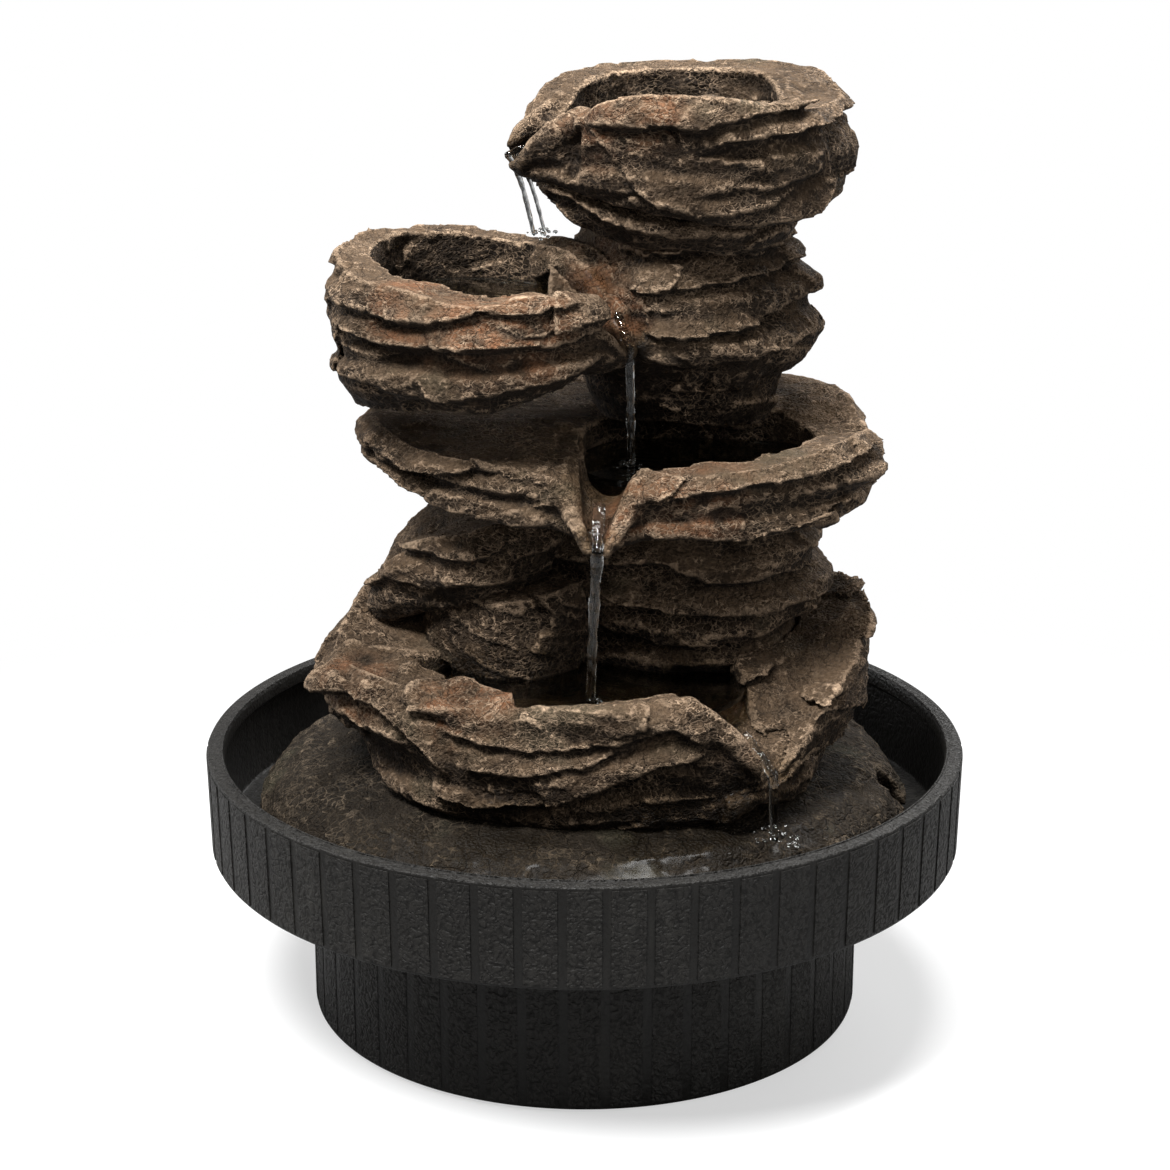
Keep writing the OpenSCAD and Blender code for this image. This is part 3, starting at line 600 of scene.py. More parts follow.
def curvature(points, quads, normals, rounds):
    # how far each point stands out from the surface after it is smoothed so many times
    ends = np.concatenate([quads[:, [0, 1]], quads[:, [1, 2]], quads[:, [2, 3]], quads[:, [3, 0]]])
    count = np.maximum(np.bincount(ends[:, 0], minlength=len(points)), 1)
    soft, result, done = points.copy(), [], 0
    for wanted in rounds:
        while done < wanted:
            soft = np.stack([np.bincount(ends[:, 0], soft[ends[:, 1], k], len(points)) / count
                for k in range(3)], axis=1)
            done += 1
        result.append(((points - soft) * normals).sum(1))
    return result


def makeObject(name, points, faces, material, smoothShade=True):
    data = bpy.data.meshes.new(name)
    points = np.asarray(points, np.float32)
    faces = np.asarray(faces)
    data.vertices.add(len(points))
    data.vertices.foreach_set("co", (points * mm).ravel())
    sides = faces.shape[1]
    data.loops.add(faces.size)
    data.loops.foreach_set("vertex_index", faces.ravel().astype(np.int32))
    data.polygons.add(len(faces))
    data.polygons.foreach_set("loop_start", np.arange(0, faces.size, sides, dtype=np.int32))
    data.polygons.foreach_set("loop_total", np.full(len(faces), sides, np.int32))
    data.polygons.foreach_set("use_smooth", np.full(len(faces), smoothShade))
    data.update(calc_edges=True)
    data.validate()
    data.materials.append(material)
    made = bpy.data.objects.new(name, data)
    bpy.context.scene.collection.objects.link(made)
    return made


def addAttribute(piece, name, values):
    kept = piece.data.attributes.new(name, "FLOAT", "POINT")
    kept.data.foreach_set("value", np.asarray(values, np.float32))


# places in millimetres: x, y, z, radius
wetPlaces = [
    (26, 8, 236, 20), (0, -6, 242, 9), (-17, -10, 240, 8), (-32, -8, 194, 20), (2, -16, 206, 7),
    (10, -26, 196, 8), (14, -20, 156, 20), (40, -18, 154, 18), (3, -44, 157, 12), (3, -57, 148, 8),
    (0, -38, 100, 22), (28, -38, 100, 18), (-30, -32, 100, 15), (44, -60, 91, 10), (47, -64, 74, 22),
    (20, -80, 70, 26), (-20, -82, 70, 26), (-54, -72, 68, 20), (12, -28, 175, 8),
]
rustPlaces = [
    (-2, -34, 252, 14), (12, -38, 256, 14), (4, -10, 212, 13), (9, -24, 202, 10), (-20, -48, 203, 20),
    (-40, -44, 208, 16), (30, -50, 160, 18), (10, -52, 158, 12), (22, -52, 143, 10), (-30, -56, 109, 16),
    (-60, -36, 104, 12), (40, -62, 96, 8),
]
palePlaces = [
    (-60, -14, 216, 16), (-50, 10, 218, 14), (60, -6, 165, 16), (72, 4, 168, 16), (-66, -14, 114, 16),
    (-60, 4, 116, 14), (-84, -20, 66, 20), (84, -20, 66, 20), (64, -30, 105, 14), (40, -66, 98, 10),
    (30, -36, 224, 12), (50, 20, 262, 18),
]


def nearness(points, places):
    best = np.zeros(len(points), np.float32)
    for x, y, z, r in places:
        d = np.sqrt((points[:, 0] - x) ** 2 + (points[:, 1] - y) ** 2 + (points[:, 2] - z) ** 2)
        best = np.maximum(best, 1 - smooth(d / r, 0.55, 1.15))
    return best


# places where the stone keeps its carved shape: x, y, z, radius
calmPlaces = [
    (-14, -12, 245, 13), (6, -16, 206, 13), (10, -26, 197, 9), (3, -48, 158, 16), (3, -57, 150, 10),
    (42, -60, 96, 12), (30, -52, 103, 9), (48, -46, 100, 13), (62, -24, 112, 13), (5, -32, 160, 10),
]
riser = (26.0, 16.0)
stones = {
    "lower_tier": {"dip": (0.05, 0.10), "thick": 11.0, "reach": 1.0, "chip": 1.1, "wave": 4.5, "flake": 0.40,
        "seed": 2, "fine": 0.9},
    "back_column": {"dip": (0.02, 0.05), "thick": 9.0, "reach": 1.0, "chip": 1.1, "wave": 4.0, "flake": 0.40,
        "seed": 4, "fine": 1.0},
    "streaked_boulder": {"dip": (0.45, 0.0), "thick": 8.0, "reach": 1.2, "chip": 1.2, "wave": 3.0,
        "flake": 0.42, "seed": 5, "fine": 0.9},
    "left_boulder": {"dip": (-0.30, 0.1), "thick": 9.0, "reach": 1.0, "chip": 1.0, "wave": 3.5, "flake": 0.42,
        "seed": 6, "fine": 0.9},
    "side_stone": {"dip": (0.30, -0.2), "thick": 12.0, "reach": 1.2, "chip": 1.2, "wave": 4.0, "flake": 0.5,
        "seed": 7, "fine": 0.9},
    "third_tier": {"dip": (-0.10, 0.12), "thick": 11.0, "reach": 1.0, "chip": 1.1, "wave": 4.5, "flake": 0.40,
        "seed": 9, "fine": 0.85},
    "neck": {"dip": (-0.06, 0.04), "thick": 10.0, "reach": 1.0, "chip": 1.1, "wave": 4.0, "flake": 0.40,
        "seed": 12, "fine": 0.9},
    "second_bowl": {"dip": (0.05, 0.05), "thick": 10.5, "reach": 1.0, "chip": 1.1, "wave": 4.5, "flake": 0.42,
        "seed": 14, "fine": 0.8},
    "under_slab": {"dip": (0.10, 0.0), "thick": 7.0, "reach": 1.0, "chip": 1.0, "wave": 3.0, "flake": 0.40,
        "seed": 16, "fine": 0.9},
    "top_bowl": {"dip": (-0.22, 0.05), "thick": 10.5, "reach": 1.0, "chip": 1.1, "wave": 4.5, "flake": 0.42,
        "seed": 17, "fine": 0.8},
    "base_plate": {"dip": (0.0, 0.0), "thick": 5.0, "reach": 0.6, "chip": 0.7, "wave": 3.0, "flake": 0.6,
        "seed": 20, "fine": 1.1},
}
# lines on each stone where a layer stands out: points, how far, and how high the layer is
ledges = {
    "top_bowl": [
        ([(-2, -28, 251), (8, -35, 252), (18, -38, 252), (28, -38, 251), (36, -37, 253), (43, -33, 254),
            (50, -22, 255), (57, -4, 256)], 2.2, 7),
        ([(28, -38, 246), (36, -38, 248), (43, -34, 248), (56, -22, 250), (68, -1, 251), (66, 20, 252)],
            2.4, 6),
        ([(9, -34, 238), (20, -36, 232), (31, -33, 227), (44, -28, 226), (55, -19, 227), (65, -9, 234),
            (68, 6, 238)], 3.0, 13),
        ([(27, -38, 235), (39, -35, 236), (50, -29, 236), (60, -16, 239)], 1.0, 5),
        ([(27, -36, 230), (38, -32, 230), (49, -27, 231)], 0.9, 4),
        ([(60, 26, 250), (36, 38, 249), (10, 37, 250), (-10, 22, 248)], 2.4, 9),
        ([(64, 20, 238), (40, 36, 236), (12, 35, 238), (-8, 20, 240)], 2.6, 10),
    ],
    "under_slab": [
        ([(-11, -10, 232), (-3, -18, 231), (6, -25, 226), (20, -31, 223), (34, -29, 222)], 1.8, 6),
        ([(48, 20, 224), (26, 32, 224), (2, 26, 226)], 1.8, 6),
    ],
    "neck": [
        ([(4, -14, 216), (14, -22, 217), (24, -27, 218), (40, -25, 218), (53, -1, 217), (50, 16, 217)],
            2.4, 7),
        ([(8, -20, 208), (16, -24, 208), (25, -26, 209), (40, -21, 210), (55, -5, 212), (58, 12, 213)],
            2.6, 8),
        ([(12, -26, 199), (20, -29, 197), (29, -30, 197), (42, -23, 199), (58, -8, 203), (62, 6, 204)],
            3.0, 8),
        ([(14, -27, 190), (27, -28, 189), (40, -25, 190), (52, -18, 192), (60, -4, 196)], 2.6, 7),
        ([(20, -28, 181), (34, -28, 180), (50, -20, 180)], 2.0, 6),
        ([(58, 22, 208), (38, 38, 206), (12, 40, 208), (-6, 28, 207)], 2.6, 9),
        ([(60, 20, 192), (36, 40, 190), (10, 41, 192), (-8, 26, 190)], 2.6, 9),
    ],
    "second_bowl": [
        ([(-66, -24, 209), (-60, -36, 207), (-54, -41, 206), (-46, -46, 204), (-38, -49, 205),
            (-26, -51, 208), (-19, -51, 207), (-9, -47, 208), (0, -42, 209)], 1.9, 6),
        ([(-66, -30, 202), (-60, -37, 200), (-50, -43, 198), (-37, -50, 199), (-20, -52, 200), (-9, -48, 198),
            (1, -43, 201), (6, -34, 203)], 2.2, 7),
        ([(-66, -28, 190), (-58, -37, 188), (-47, -45, 185), (-31, -51, 186), (-12, -49, 189), (-1, -43, 191),
            (6, -36, 195)], 2.2, 8),
        ([(-68, -20, 214), (-66, -4, 213), (-60, 10, 213)], 1.8, 6),
        ([(-66, 4, 200), (-50, 20, 198), (-28, 24, 200), (-8, 20, 204)], 2.4, 9),
        ([(-64, 8, 188), (-46, 20, 186), (-24, 23, 189)], 2.2, 8),
    ],
    "third_tier": [
        ([(-60, -18, 168), (-52, -26, 166), (-45, -36, 163), (-36, -41, 164), (-22, -34, 166),
            (-7, -26, 166)], 2.6, 9),
        ([(-59, -22, 163), (-51, -32, 158), (-41, -41, 154), (-28, -47, 152), (-16, -50, 151),
            (-7, -52, 151)], 2.0, 6),
        ([(12, -50, 156), (20, -51, 159), (29, -50, 161), (45, -46, 162), (58, -40, 163), (73, -24, 165),
            (79, -8, 167)], 2.2, 6),
        ([(10, -52, 148), (23, -50, 150), (39, -44, 147), (56, -39, 150), (69, -28, 154), (78, -14, 161),
            (79, 2, 164)], 2.4, 7),
        ([(74, 14, 160), (58, 34, 158), (28, 46, 158), (0, 48, 157), (-30, 40, 158), (-54, 20, 160)], 2.6, 8),
    ],
    "back_column": [
        ([(2, -18, 133), (12, -25, 134), (22, -28, 135), (32, -30, 130), (48, -26, 130), (63, -4, 131)],
            2.6, 7),
        ([(2, -18, 125), (14, -26, 123), (29, -31, 122), (43, -29, 122), (60, -14, 122), (65, 6, 122)],
            3.0, 8),
        ([(2, -16, 116), (12, -23, 114), (22, -26, 112), (40, -26, 113), (56, -16, 117), (64, 2, 118)],
            2.6, 7),
        ([(64, 20, 136), (42, 44, 134), (6, 50, 135), (-28, 42, 136)], 2.6, 8),
        ([(64, 20, 122), (42, 44, 120), (6, 50, 121), (-28, 42, 122)], 2.6, 8),
    ],
    "lower_tier": [
        ([(-73, -18, 105), (-69, -29, 102), (-62, -38, 103), (-55, -45, 103), (-46, -54, 98), (-39, -58, 93),
            (-34, -62, 86)], 2.6, 9),
        ([(-40, -58, 101), (-32, -61, 99), (-13, -66, 98), (7, -69, 100), (22, -68, 104), (34, -67, 98)],
            1.9, 5),
        ([(-44, -56, 86), (-38, -58, 82), (-24, -63, 80), (-8, -66, 83), (7, -67, 88), (21, -69, 95),
            (34, -67, 97)], 3.2, 10),
        ([(-30, -60, 92), (-14, -66, 91), (2, -67, 95), (14, -68, 100)], 1.6, 5),
        ([(48, -58, 84), (58, -44, 88), (68, -16, 88), (70, 10, 90)], 2.4, 8),
        ([(62, 36, 100), (34, 54, 98), (0, 58, 98), (-34, 50, 100), (-60, 28, 104)], 2.8, 9),
        ([(62, 36, 86), (34, 54, 85), (0, 58, 86), (-34, 50, 87), (-60, 28, 90)], 2.8, 9),
        ([(-72, -8, 96), (-70, 8, 98), (-60, 26, 102)], 2.4, 8),
    ],
    "left_boulder": [
        ([(-60, 2, 119), (-52, -16, 128), (-41, -24, 127), (-30, -29, 130), (-17, -24, 129)], 2.2, 8),
        ([(-54, -10, 138), (-43, -22, 137), (-34, -28, 137), (-20, -26, 140)], 1.8, 7),
    ],
    "side_stone": [
        ([(40, -28, 102), (47, -30, 106), (59, -26, 109), (72, -20, 113), (77, -6, 116)], 1.8, 7),
        ([(43, -40, 96), (48, -50, 95), (56, -50, 98), (68, -34, 104)], 1.4, 6),
    ],
}


def shapeTop(field, grid):
    field = cutSoft(field, slab(grid, (-15, -34, 252), (1, 0, 0), (0, 0, 1), (13, 10.5, 15), 1.5), 1.2)
    field = joinSoft(field, ridge(grid, [(-6, 8, 251, 4), (-12, 1, 249, 3), (-17, -5, 246, 2.4),
        (-19, -9, 243.5, 1.6)]), 2.0)
    field = joinSoft(field, ridge(grid, [(-1, -21, 251, 3.6), (-8, -20, 248, 3), (-13, -17, 244, 2.4),
        (-16, -14.5, 239, 1.8)]), 1.6)
    field = joinSoft(field, ridge(grid, [(-4, -8, 239, 6), (-14, -11, 238.5, 4), (-18, -12, 238.5, 2)], 0.7),
        2.0)
    return cutSoft(field, ridge(grid, [(6, -7, 246, 5), (-4, -9, 246, 3.6), (-12, -9.5, 244.5, 2.8),
        (-21, -12.5, 241.5, 2.0)]), 1.0)


def shapeSecond(field, grid):
    field = joinSoft(field, ridge(grid, [(-7, 3, 210, 7), (1, -7, 209, 7), (5, -14, 205, 5.8),
        (8, -21, 200, 4.8), (11, -28, 193.5, 2.6)]), 2.5)
    field = joinSoft(field, ridge(grid, [(-16, -46, 207, 5), (-6, -42, 206, 5.5), (1, -36, 205, 5),
        (2, -31, 204, 3.5)], 0.9), 1.5)
    field = cutSoft(field, ridge(grid, [(-12, 4, 219, 4.2), (-2, -5, 218, 3.4), (3, -14, 214, 2.4),
        (7, -20, 208, 1.4)]), 0.8)
    for shift in (-2.2, 0.6, 3.2):
        field = cutSoft(field, ridge(grid, [(2 + shift, -13, 213.5, 0.7), (6 + shift, -23, 206, 0.9),
            (9.5 + shift * 0.5, -30.5, 197, 0.7)]), 0.8)
    return cutSoft(field, ridge(grid, [(-6, -24, 212, 3.0), (1, -28, 205, 2.2), (5, -32, 197, 1.6)]), 1.2)


def shapeThird(field, grid):
    field = joinSoft(field, ridge(grid, [(-4, -24, 164, 3.0), (-6, -40, 162.5, 3.2), (-3.4, -51, 156, 2.8),
        (0.8, -57.5, 148.5, 1.8)]), 1.0)
    field = joinSoft(field, ridge(grid, [(24, -42, 161, 3.0), (14, -45, 161, 3.0), (9.4, -52, 155, 2.8),
        (5.4, -58.5, 148, 1.8)]), 1.0)
    return cutSoft(field, ridge(grid, [(7, -28, 165, 6.5), (5, -41, 162.5, 6), (3.7, -51, 157.5, 4.2),
        (3.2, -61, 150.8, 2.2)]), 0.4)


def shapeLower(field, grid):
    field = joinSoft(field, ridge(grid, [(-22, -59, 103, 3.6), (-6, -64, 105, 3.8), (12, -67, 106.5, 4),
        (26, -66, 108, 3.8), (36, -66, 101.5, 3.5), (43, -65, 94, 2.9), (47.5, -65, 88.5, 2.0)]), 2.2)
    field = joinSoft(field, uneven(slab(grid, (-31, -53.5, 106.8), (1, -0.22, -0.05), (0.05, -0.32, 1),
        (13.5, 7.5, 1.5), 1.0), grid, 9, 2.6), 1.0)
    field = joinSoft(field, uneven(slab(grid, (-57, -32, 107.0), (1, -0.55, 0.08), (-0.1, -0.25, 1),
        (12, 9, 2.0), 1.3), grid, 9, 2.6), 1.2)
    field = cutSoft(field, ridge(grid, [(24, -44, 105, 5), (33, -52, 101.5, 4.2), (41, -58.5, 95.5, 3.2),
        (47.5, -64, 91.2, 2.2), (51, -68, 89, 2)]), 1.0)
    field = cutSoft(field, ridge(grid, [(-72, -22, 87, 7), (-58, -44, 85, 8), (-46, -56, 84, 6)]), 4.0)
    return cutSoft(field, ridge(grid, [(20, -74, 92, 4), (34, -72, 90, 5.5), (44, -68, 84, 4)]), 3.0)


def shapeSide(field, grid):
    return cutSoft(field, ridge(grid, [(62, -46, 107, 4), (58, -54, 97, 3)]), 3.0)


features = {
    "top_bowl": [shapeTop], "second_bowl": [shapeSecond], "third_tier": [shapeThird],
    "lower_tier": [shapeLower],
    "side_stone": [shapeSide],
}


# what all the stones share, in millimetres: sizes of lumps and chips come with how far they push
weathering = {
    "halo": 7.0, "band": 4.6, "quickVoxel": 1.7, "wall": (0.30, 0.80), "outward": (-0.15, 0.35),
    "lumps": (26, 0.7), "bumps": (9, 0.22), "grit": (3.6, 0.22),
    "chips": ((25, 25, 13), 1.35), "smallChips": ((8.5, 8.5, 5), 0.22),
    "ledgeReach": 1.25, "ledgeRise": 1.25, "riserClear": (8.2, 12.0), "calm": 0.72, "smoothings": (2, 8, 36),
    "edge": (6.5, 0.5, 0.22), "hollowShade": (0.9, 0.28, 0.05), "patch": (0.65, 0.9, 14), "damp": (0.8, 0.6, 10),
}


def pushOut(node, settings, points, slope):
    # how far each point near the surface moves outwards
    w, seed = weathering, settings["seed"]
    wall = smooth(np.sqrt(slope[:, 0] ** 2 + slope[:, 1] ** 2), *w["wall"])
    middle = (points.min(0) + points.max(0)) / 2
    away = points[:, :2] - middle[:2]
    away /= np.maximum(np.linalg.norm(away, axis=1), 1e-6)[:, None]
    outward = smooth((slope[:, :2] * away).sum(1), *w["outward"])
    lumps = rough.at(points, w["lumps"][0], seed + 30) * w["lumps"][1]
    lumps = lumps + rough.at(points, w["bumps"][0], seed + 31) * w["bumps"][1]
    grit = rough.at(points, w["grit"][0], seed + 32) * w["grit"][1]
    push = layers(points, settings, seed) * wall * outward + flakes(points, settings, seed) + lumps + grit
    push += facets(points, w["chips"][0], settings["chip"] * w["chips"][1], seed) * (0.4 + 0.6 * wall)
    push += facets(points, w["smallChips"][0], settings["chip"] * w["smallChips"][1], seed + 4)
    push -= 0.5 * settings["reach"] * wall
    for k, (path, reach, rise) in enumerate(ledges.get(node, ())):
        push += ledge(points, path, reach * w["ledgeReach"], rise * w["ledgeRise"], seed=seed + k) * outward
    fromRiser = np.hypot(points[:, 0] - riser[0], points[:, 1] - riser[1])
    push *= smooth(fromRiser, *w["riserClear"]) * (1 - w["calm"] * nearness(points, calmPlaces))
    return push


def sculptStone(node, settings):
    halo = weathering["halo"]
    voxel = settings["fine"]
    field, grid, low = readSurface(node, voxel, halo)
    for work in features.get(node, ()):
        field = work(field, grid)
    band = np.abs(field) < weathering["band"]
    where = np.nonzero(band)
    points = np.stack([grid[k].ravel()[where[k]] for k in range(3)], axis=1).astype(np.float32)
    slope = np.stack([part[band] for part in np.gradient(field)], axis=1)
    slope /= np.maximum(np.linalg.norm(slope, axis=1), 1e-6)[:, None]
    field[band] -= pushOut(node, settings, points, slope)
    points, quads = readMesh(field, low, voxel, halo)
    normals = vertexNormals(points, quads)
    near, mid, far = curvature(points, quads, normals, weathering["smoothings"])
    made = makeObject(node + "_rock", points, quads, wetStone if node == "base_plate" else castStone)
    scale = 1.0 / voxel
    nearWear, midWear, leastWear = weathering["edge"]
    midHollow, farHollow, leastHollow = weathering["hollowShade"]
    addAttribute(made, "wear", np.clip(near * nearWear * scale + mid * midWear * scale - leastWear, 0, 1))
    # how far each point faces up, which the stone material uses to paint light on tops and shade on walls and
    # undersides
    addAttribute(made, "lean", normals[:, 2])
    # how concave each point is, which the stone material uses to paint shade into recesses
    addAttribute(made, "hollowShade", np.clip(-mid * midHollow * scale - far * farHollow * scale - leastHollow,
        0, 1))
    spots = points.astype(np.float32)
    least, more, size = weathering["patch"]
    patch = least + more * rough.at(spots, size, 40)
    least, more, size = weathering["damp"]
    damp = least + more * rough.at(spots, size, 43)
    addAttribute(made, "wet", np.clip(nearness(points, wetPlaces) * damp, 0, 1))
    addAttribute(made, "rust", np.clip(nearness(points, rustPlaces) * patch, 0, 1))
    addAttribute(made, "pale", np.clip(nearness(points, palePlaces) * patch, 0, 1))
    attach(made, "cascade")
    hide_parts(node)
    say("%s: %d triangles" % (made.name, len(quads) * 2))
    return made


for stoneName, stoneSettings in stones.items():
    sculptStone(stoneName, stoneSettings)


def startTree(name, inputs):
    tree = bpy.data.node_groups.new(name, "GeometryNodeTree")
    tree.interface.new_socket("Geometry", in_out="INPUT", socket_type="NodeSocketGeometry")
    for title, kind in inputs:
        tree.interface.new_socket(title, in_out="INPUT", socket_type=kind)
    tree.interface.new_socket("Geometry", in_out="OUTPUT", socket_type="NodeSocketGeometry")
    return tree, tree.nodes.new("NodeGroupInput"), tree.nodes.new("NodeGroupOutput")


def endTree(tree, given, out, geometry):
    real = put(tree, "GeometryNodeRealizeInstances", {0: geometry})
    painted = put(tree, "GeometryNodeSetMaterial", {
        "Geometry": real.outputs[0], "Material": given.outputs["Material"]})
    tree.links.new(painted.outputs[0], out.inputs[0])


def runTree(name, tree, values, points=((0, 0, 0),), edges=()):
    seedMesh = bpy.data.meshes.new(name + "Seed")
    seedMesh.from_pydata([tuple(c * mm for c in p) for p in points], list(edges), [])
    carrier = bpy.data.objects.new(name + "Seed", seedMesh)
    bpy.context.scene.collection.objects.link(carrier)
    modifier = carrier.modifiers.new("nodes", "NODES")
    modifier.node_group = tree
    for item in tree.interface.items_tree:
        if item.in_out == "INPUT" and item.name in values:
            modifier[item.identifier] = values[item.name]
    bpy.context.view_layer.update()
    made = bpy.data.meshes.new_from_object(carrier.evaluated_get(bpy.context.evaluated_depsgraph_get()))
    made.name = name
    piece = bpy.data.objects.new(name, made)
    bpy.context.scene.collection.objects.link(piece)
    carrier.modifiers.clear()
    bpy.data.objects.remove(carrier)
    return piece


def shadeSmooth(piece, angle=40):
    piece.data.polygons.foreach_set("use_smooth", np.ones(len(piece.data.polygons), bool))
    piece.data.set_sharp_from_angle(angle=math.radians(angle))


def mouldedMaterial(name, colour, roughness, grainScale=1500.0, bump=0.25, mark=1.6, level=0.3, metal=0.0):
    made, tree, shader, where = startMaterial(name)
    grain = useGroup(tree, grainGroup, {"Vector": where, "Scale": grainScale, "Warp": 0.5})
    scuff = useGroup(tree, scuffGroup, {"Vector": where, "Scale": 28.0, "Amount": 0.6})
    lighter = tuple(min(c * mark + 0.012, 1) for c in colour)
    tree.links.new(blendColour(tree, scuff.outputs[0], rgb(*colour), rgb(*lighter)),
        shader.inputs["Base Color"])
    dulled = calc(tree, "ADD", calc(tree, "MULTIPLY", scuff.outputs[0], 0.18), roughness)
    tree.links.new(calc(tree, "ADD", calc(tree, "MULTIPLY", grain.outputs[0], 0.10), dulled, clamp=True),
        shader.inputs["Roughness"])
    shader.inputs["Specular IOR Level"].default_value = level
    shader.inputs["Metallic"].default_value = metal
    bumpInto(tree, shader, grain.outputs[1], bump, 0.0002)
    return made


def basinMaterial(name, grainShare, colour, roughness):
    # leathery grain, worn a little lighter on its high places
    made, tree, shader, where = startMaterial(name)
    grain = useGroup(tree, grainGroup, {"Vector": where, "Scale": 1150.0, "Warp": 0.9})
    broad = useGroup(tree, grainGroup, {"Vector": where, "Scale": 620.0, "Warp": 0.6})
    scuff = useGroup(tree, scuffGroup, {"Vector": where, "Scale": 22.0, "Amount": 0.35})
    high = calc(tree, "MULTIPLY", calc(tree, "SUBTRACT", 1.0, grain.outputs[0]), 0.5 * grainShare)
    tint = blendColour(tree, high, rgb(*colour), rgb(*(c * 2.6 for c in colour)))
    tint = blendColour(tree, scuff.outputs[0], tint, rgb(0.045, 0.043, 0.038))
    tree.links.new(tint, shader.inputs["Base Color"])
    rougher = calc(tree, "MULTIPLY", grain.outputs[0], 0.16 * grainShare)
    tree.links.new(calc(tree, "ADD", rougher, roughness, clamp=True), shader.inputs["Roughness"])
    shader.inputs["Specular IOR Level"].default_value = 0.22
    both = calc(tree, "ADD", grain.outputs[1], calc(tree, "MULTIPLY", broad.outputs[1], 0.7))
    bumpInto(tree, shader, both, min(0.12 + 0.75 * grainShare, 1.0), 0.00038)
    return made


smoothBlack = basinMaterial("smoothBlack", 0.25, (0.0080, 0.0074, 0.0066), 0.42)
grainedBlack = basinMaterial("grainedBlack", 1.3, (0.0080, 0.0074, 0.0066), 0.50)

basinLow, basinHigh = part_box("basin")
basinSizes = {
    "outer": basinHigh.x / mm, "rim": basinHigh.z / mm, "rimIn": 100.3, "ringIn": 101.8, "draft": 0.6,
    "ledge": 51.6,
    "footOuter": 77.0, "footIn": 73.8, "footTop": 49.0, "floor": 3.6, "bottom": basinLow.z / mm,
    "edge": 0.6, "band": 4.0, "turns": 720,
}


def turnedShell(name, profile, turns, materials, pick):
    # profile of (radius, height) from the axis round to the axis, outwards-facing
    ring = [p for p in profile if p[0] > 1e-6]
    angle = np.arange(turns) * 2 * math.pi / turns
    points = np.concatenate([np.stack([np.cos(angle) * r, np.sin(angle) * r, np.full(turns, z)], axis=1)
        for r, z in ring])
    points = np.concatenate([points, [[0, 0, profile[0][1]], [0, 0, profile[-1][1]]]])
    quads = []
    k = np.arange(turns)
    n = (k + 1) % turns
    for i in range(len(ring) - 1):
        quads.append(np.stack([i * turns + k, i * turns + n, (i + 1) * turns + n, (i + 1) * turns + k],
            axis=1))
    data = bpy.data.meshes.new(name)
    last = (len(ring) - 1) * turns
    faces = [tuple(q) for q in np.concatenate(quads).tolist()]
    faces += [(len(points) - 2, int(b), int(a)) for a, b in zip(k, n)]
    faces += [(len(points) - 1, int(last + a), int(last + b)) for a, b in zip(k, n)]
    data.from_pydata((points * mm).tolist(), [], faces)
    for material in materials:
        data.materials.append(material)
    for face in data.polygons:
        face.material_index = pick(face.center / mm)
    piece = bpy.data.objects.new(name, data)
    bpy.context.scene.collection.objects.link(piece)
    shadeSmooth(piece, 30)
    return piece


def arc(cx, cz, r, start, stop, steps=4):
    return [(cx + r * math.cos(math.radians(a)), cz + r * math.sin(math.radians(a)))
        for a in np.linspace(start, stop, steps + 1)]


def buildBasin(b):
    e = b["edge"]
    profile = [(0, b["bottom"])]
    profile += [(r, b["bottom"]) for r in (30, 55, 70)]
    profile += arc(b["footOuter"] - e, b["bottom"] + e, e, -90, 0)
    profile += [(b["footOuter"], z) for z in (16, 32, b["footTop"] - 0.8)]
    profile += arc(b["footOuter"] + 0.8, b["footTop"] - 0.8, 0.8, 180, 90, 3)
    profile += [(r, b["footTop"]) for r in (86, 96)]
    low = b["outer"] - b["draft"]
    profile += arc(low - 0.5, b["footTop"] + 0.5, 0.5, -90, 0, 3)
    profile += [(b["outer"] - b["draft"] * (1 - k / 3), b["footTop"] + (b["rim"] - b["footTop"]) * k / 3)
        for k in (1, 2)]
    profile += arc(b["outer"] - e, b["rim"] - e, e, 0, 90)
    profile += [(102.8, b["rim"]), (101.3, b["rim"])]
    profile += arc(101.0, b["rim"] + 0.05, 0.32, 60, 180, 4)
    profile += [(b["rimIn"] + 0.15, b["rim"] - 0.6), (b["rimIn"], b["rim"] - 1.0)]
    profile += [(b["rimIn"], b["rim"] - b["band"] + 0.4)] + arc(b["rimIn"] + 0.4, b["rim"] - b["band"] + 0.4,
        0.4, 180, 270, 2)
    profile += [(b["ringIn"], b["rim"] - b["band"] - 1.2), (b["ringIn"] - 0.2, 64)]
    profile += arc(b["ringIn"] - b["draft"] - 1.2, b["ledge"] + 1.2, 1.2, 0, -90, 3)
    profile += [(90, b["ledge"]), (80, b["ledge"])]
    profile += arc(b["footIn"] + 0.8, b["ledge"] - 0.8, 0.8, 90, 180, 3)
    profile += [(b["footIn"], 40), (b["footIn"], 20)]
    profile += arc(b["footIn"] - 2.5, b["floor"] + 2.5, 2.5, 0, -90, 4)
    profile += [(50, b["floor"]), (25, b["floor"]), (0, b["floor"])]

    def pick(c):
        radius = math.hypot(c.x, c.y)
        return 1 if c.z > b["rim"] - 0.3 and radius > 100.6 else 0
    return turnedShell("basin_shell", profile, b["turns"], [smoothBlack, grainedBlack], pick)


basinShell = buildBasin(basinSizes)
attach(basinShell, "bowl")
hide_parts("basin")


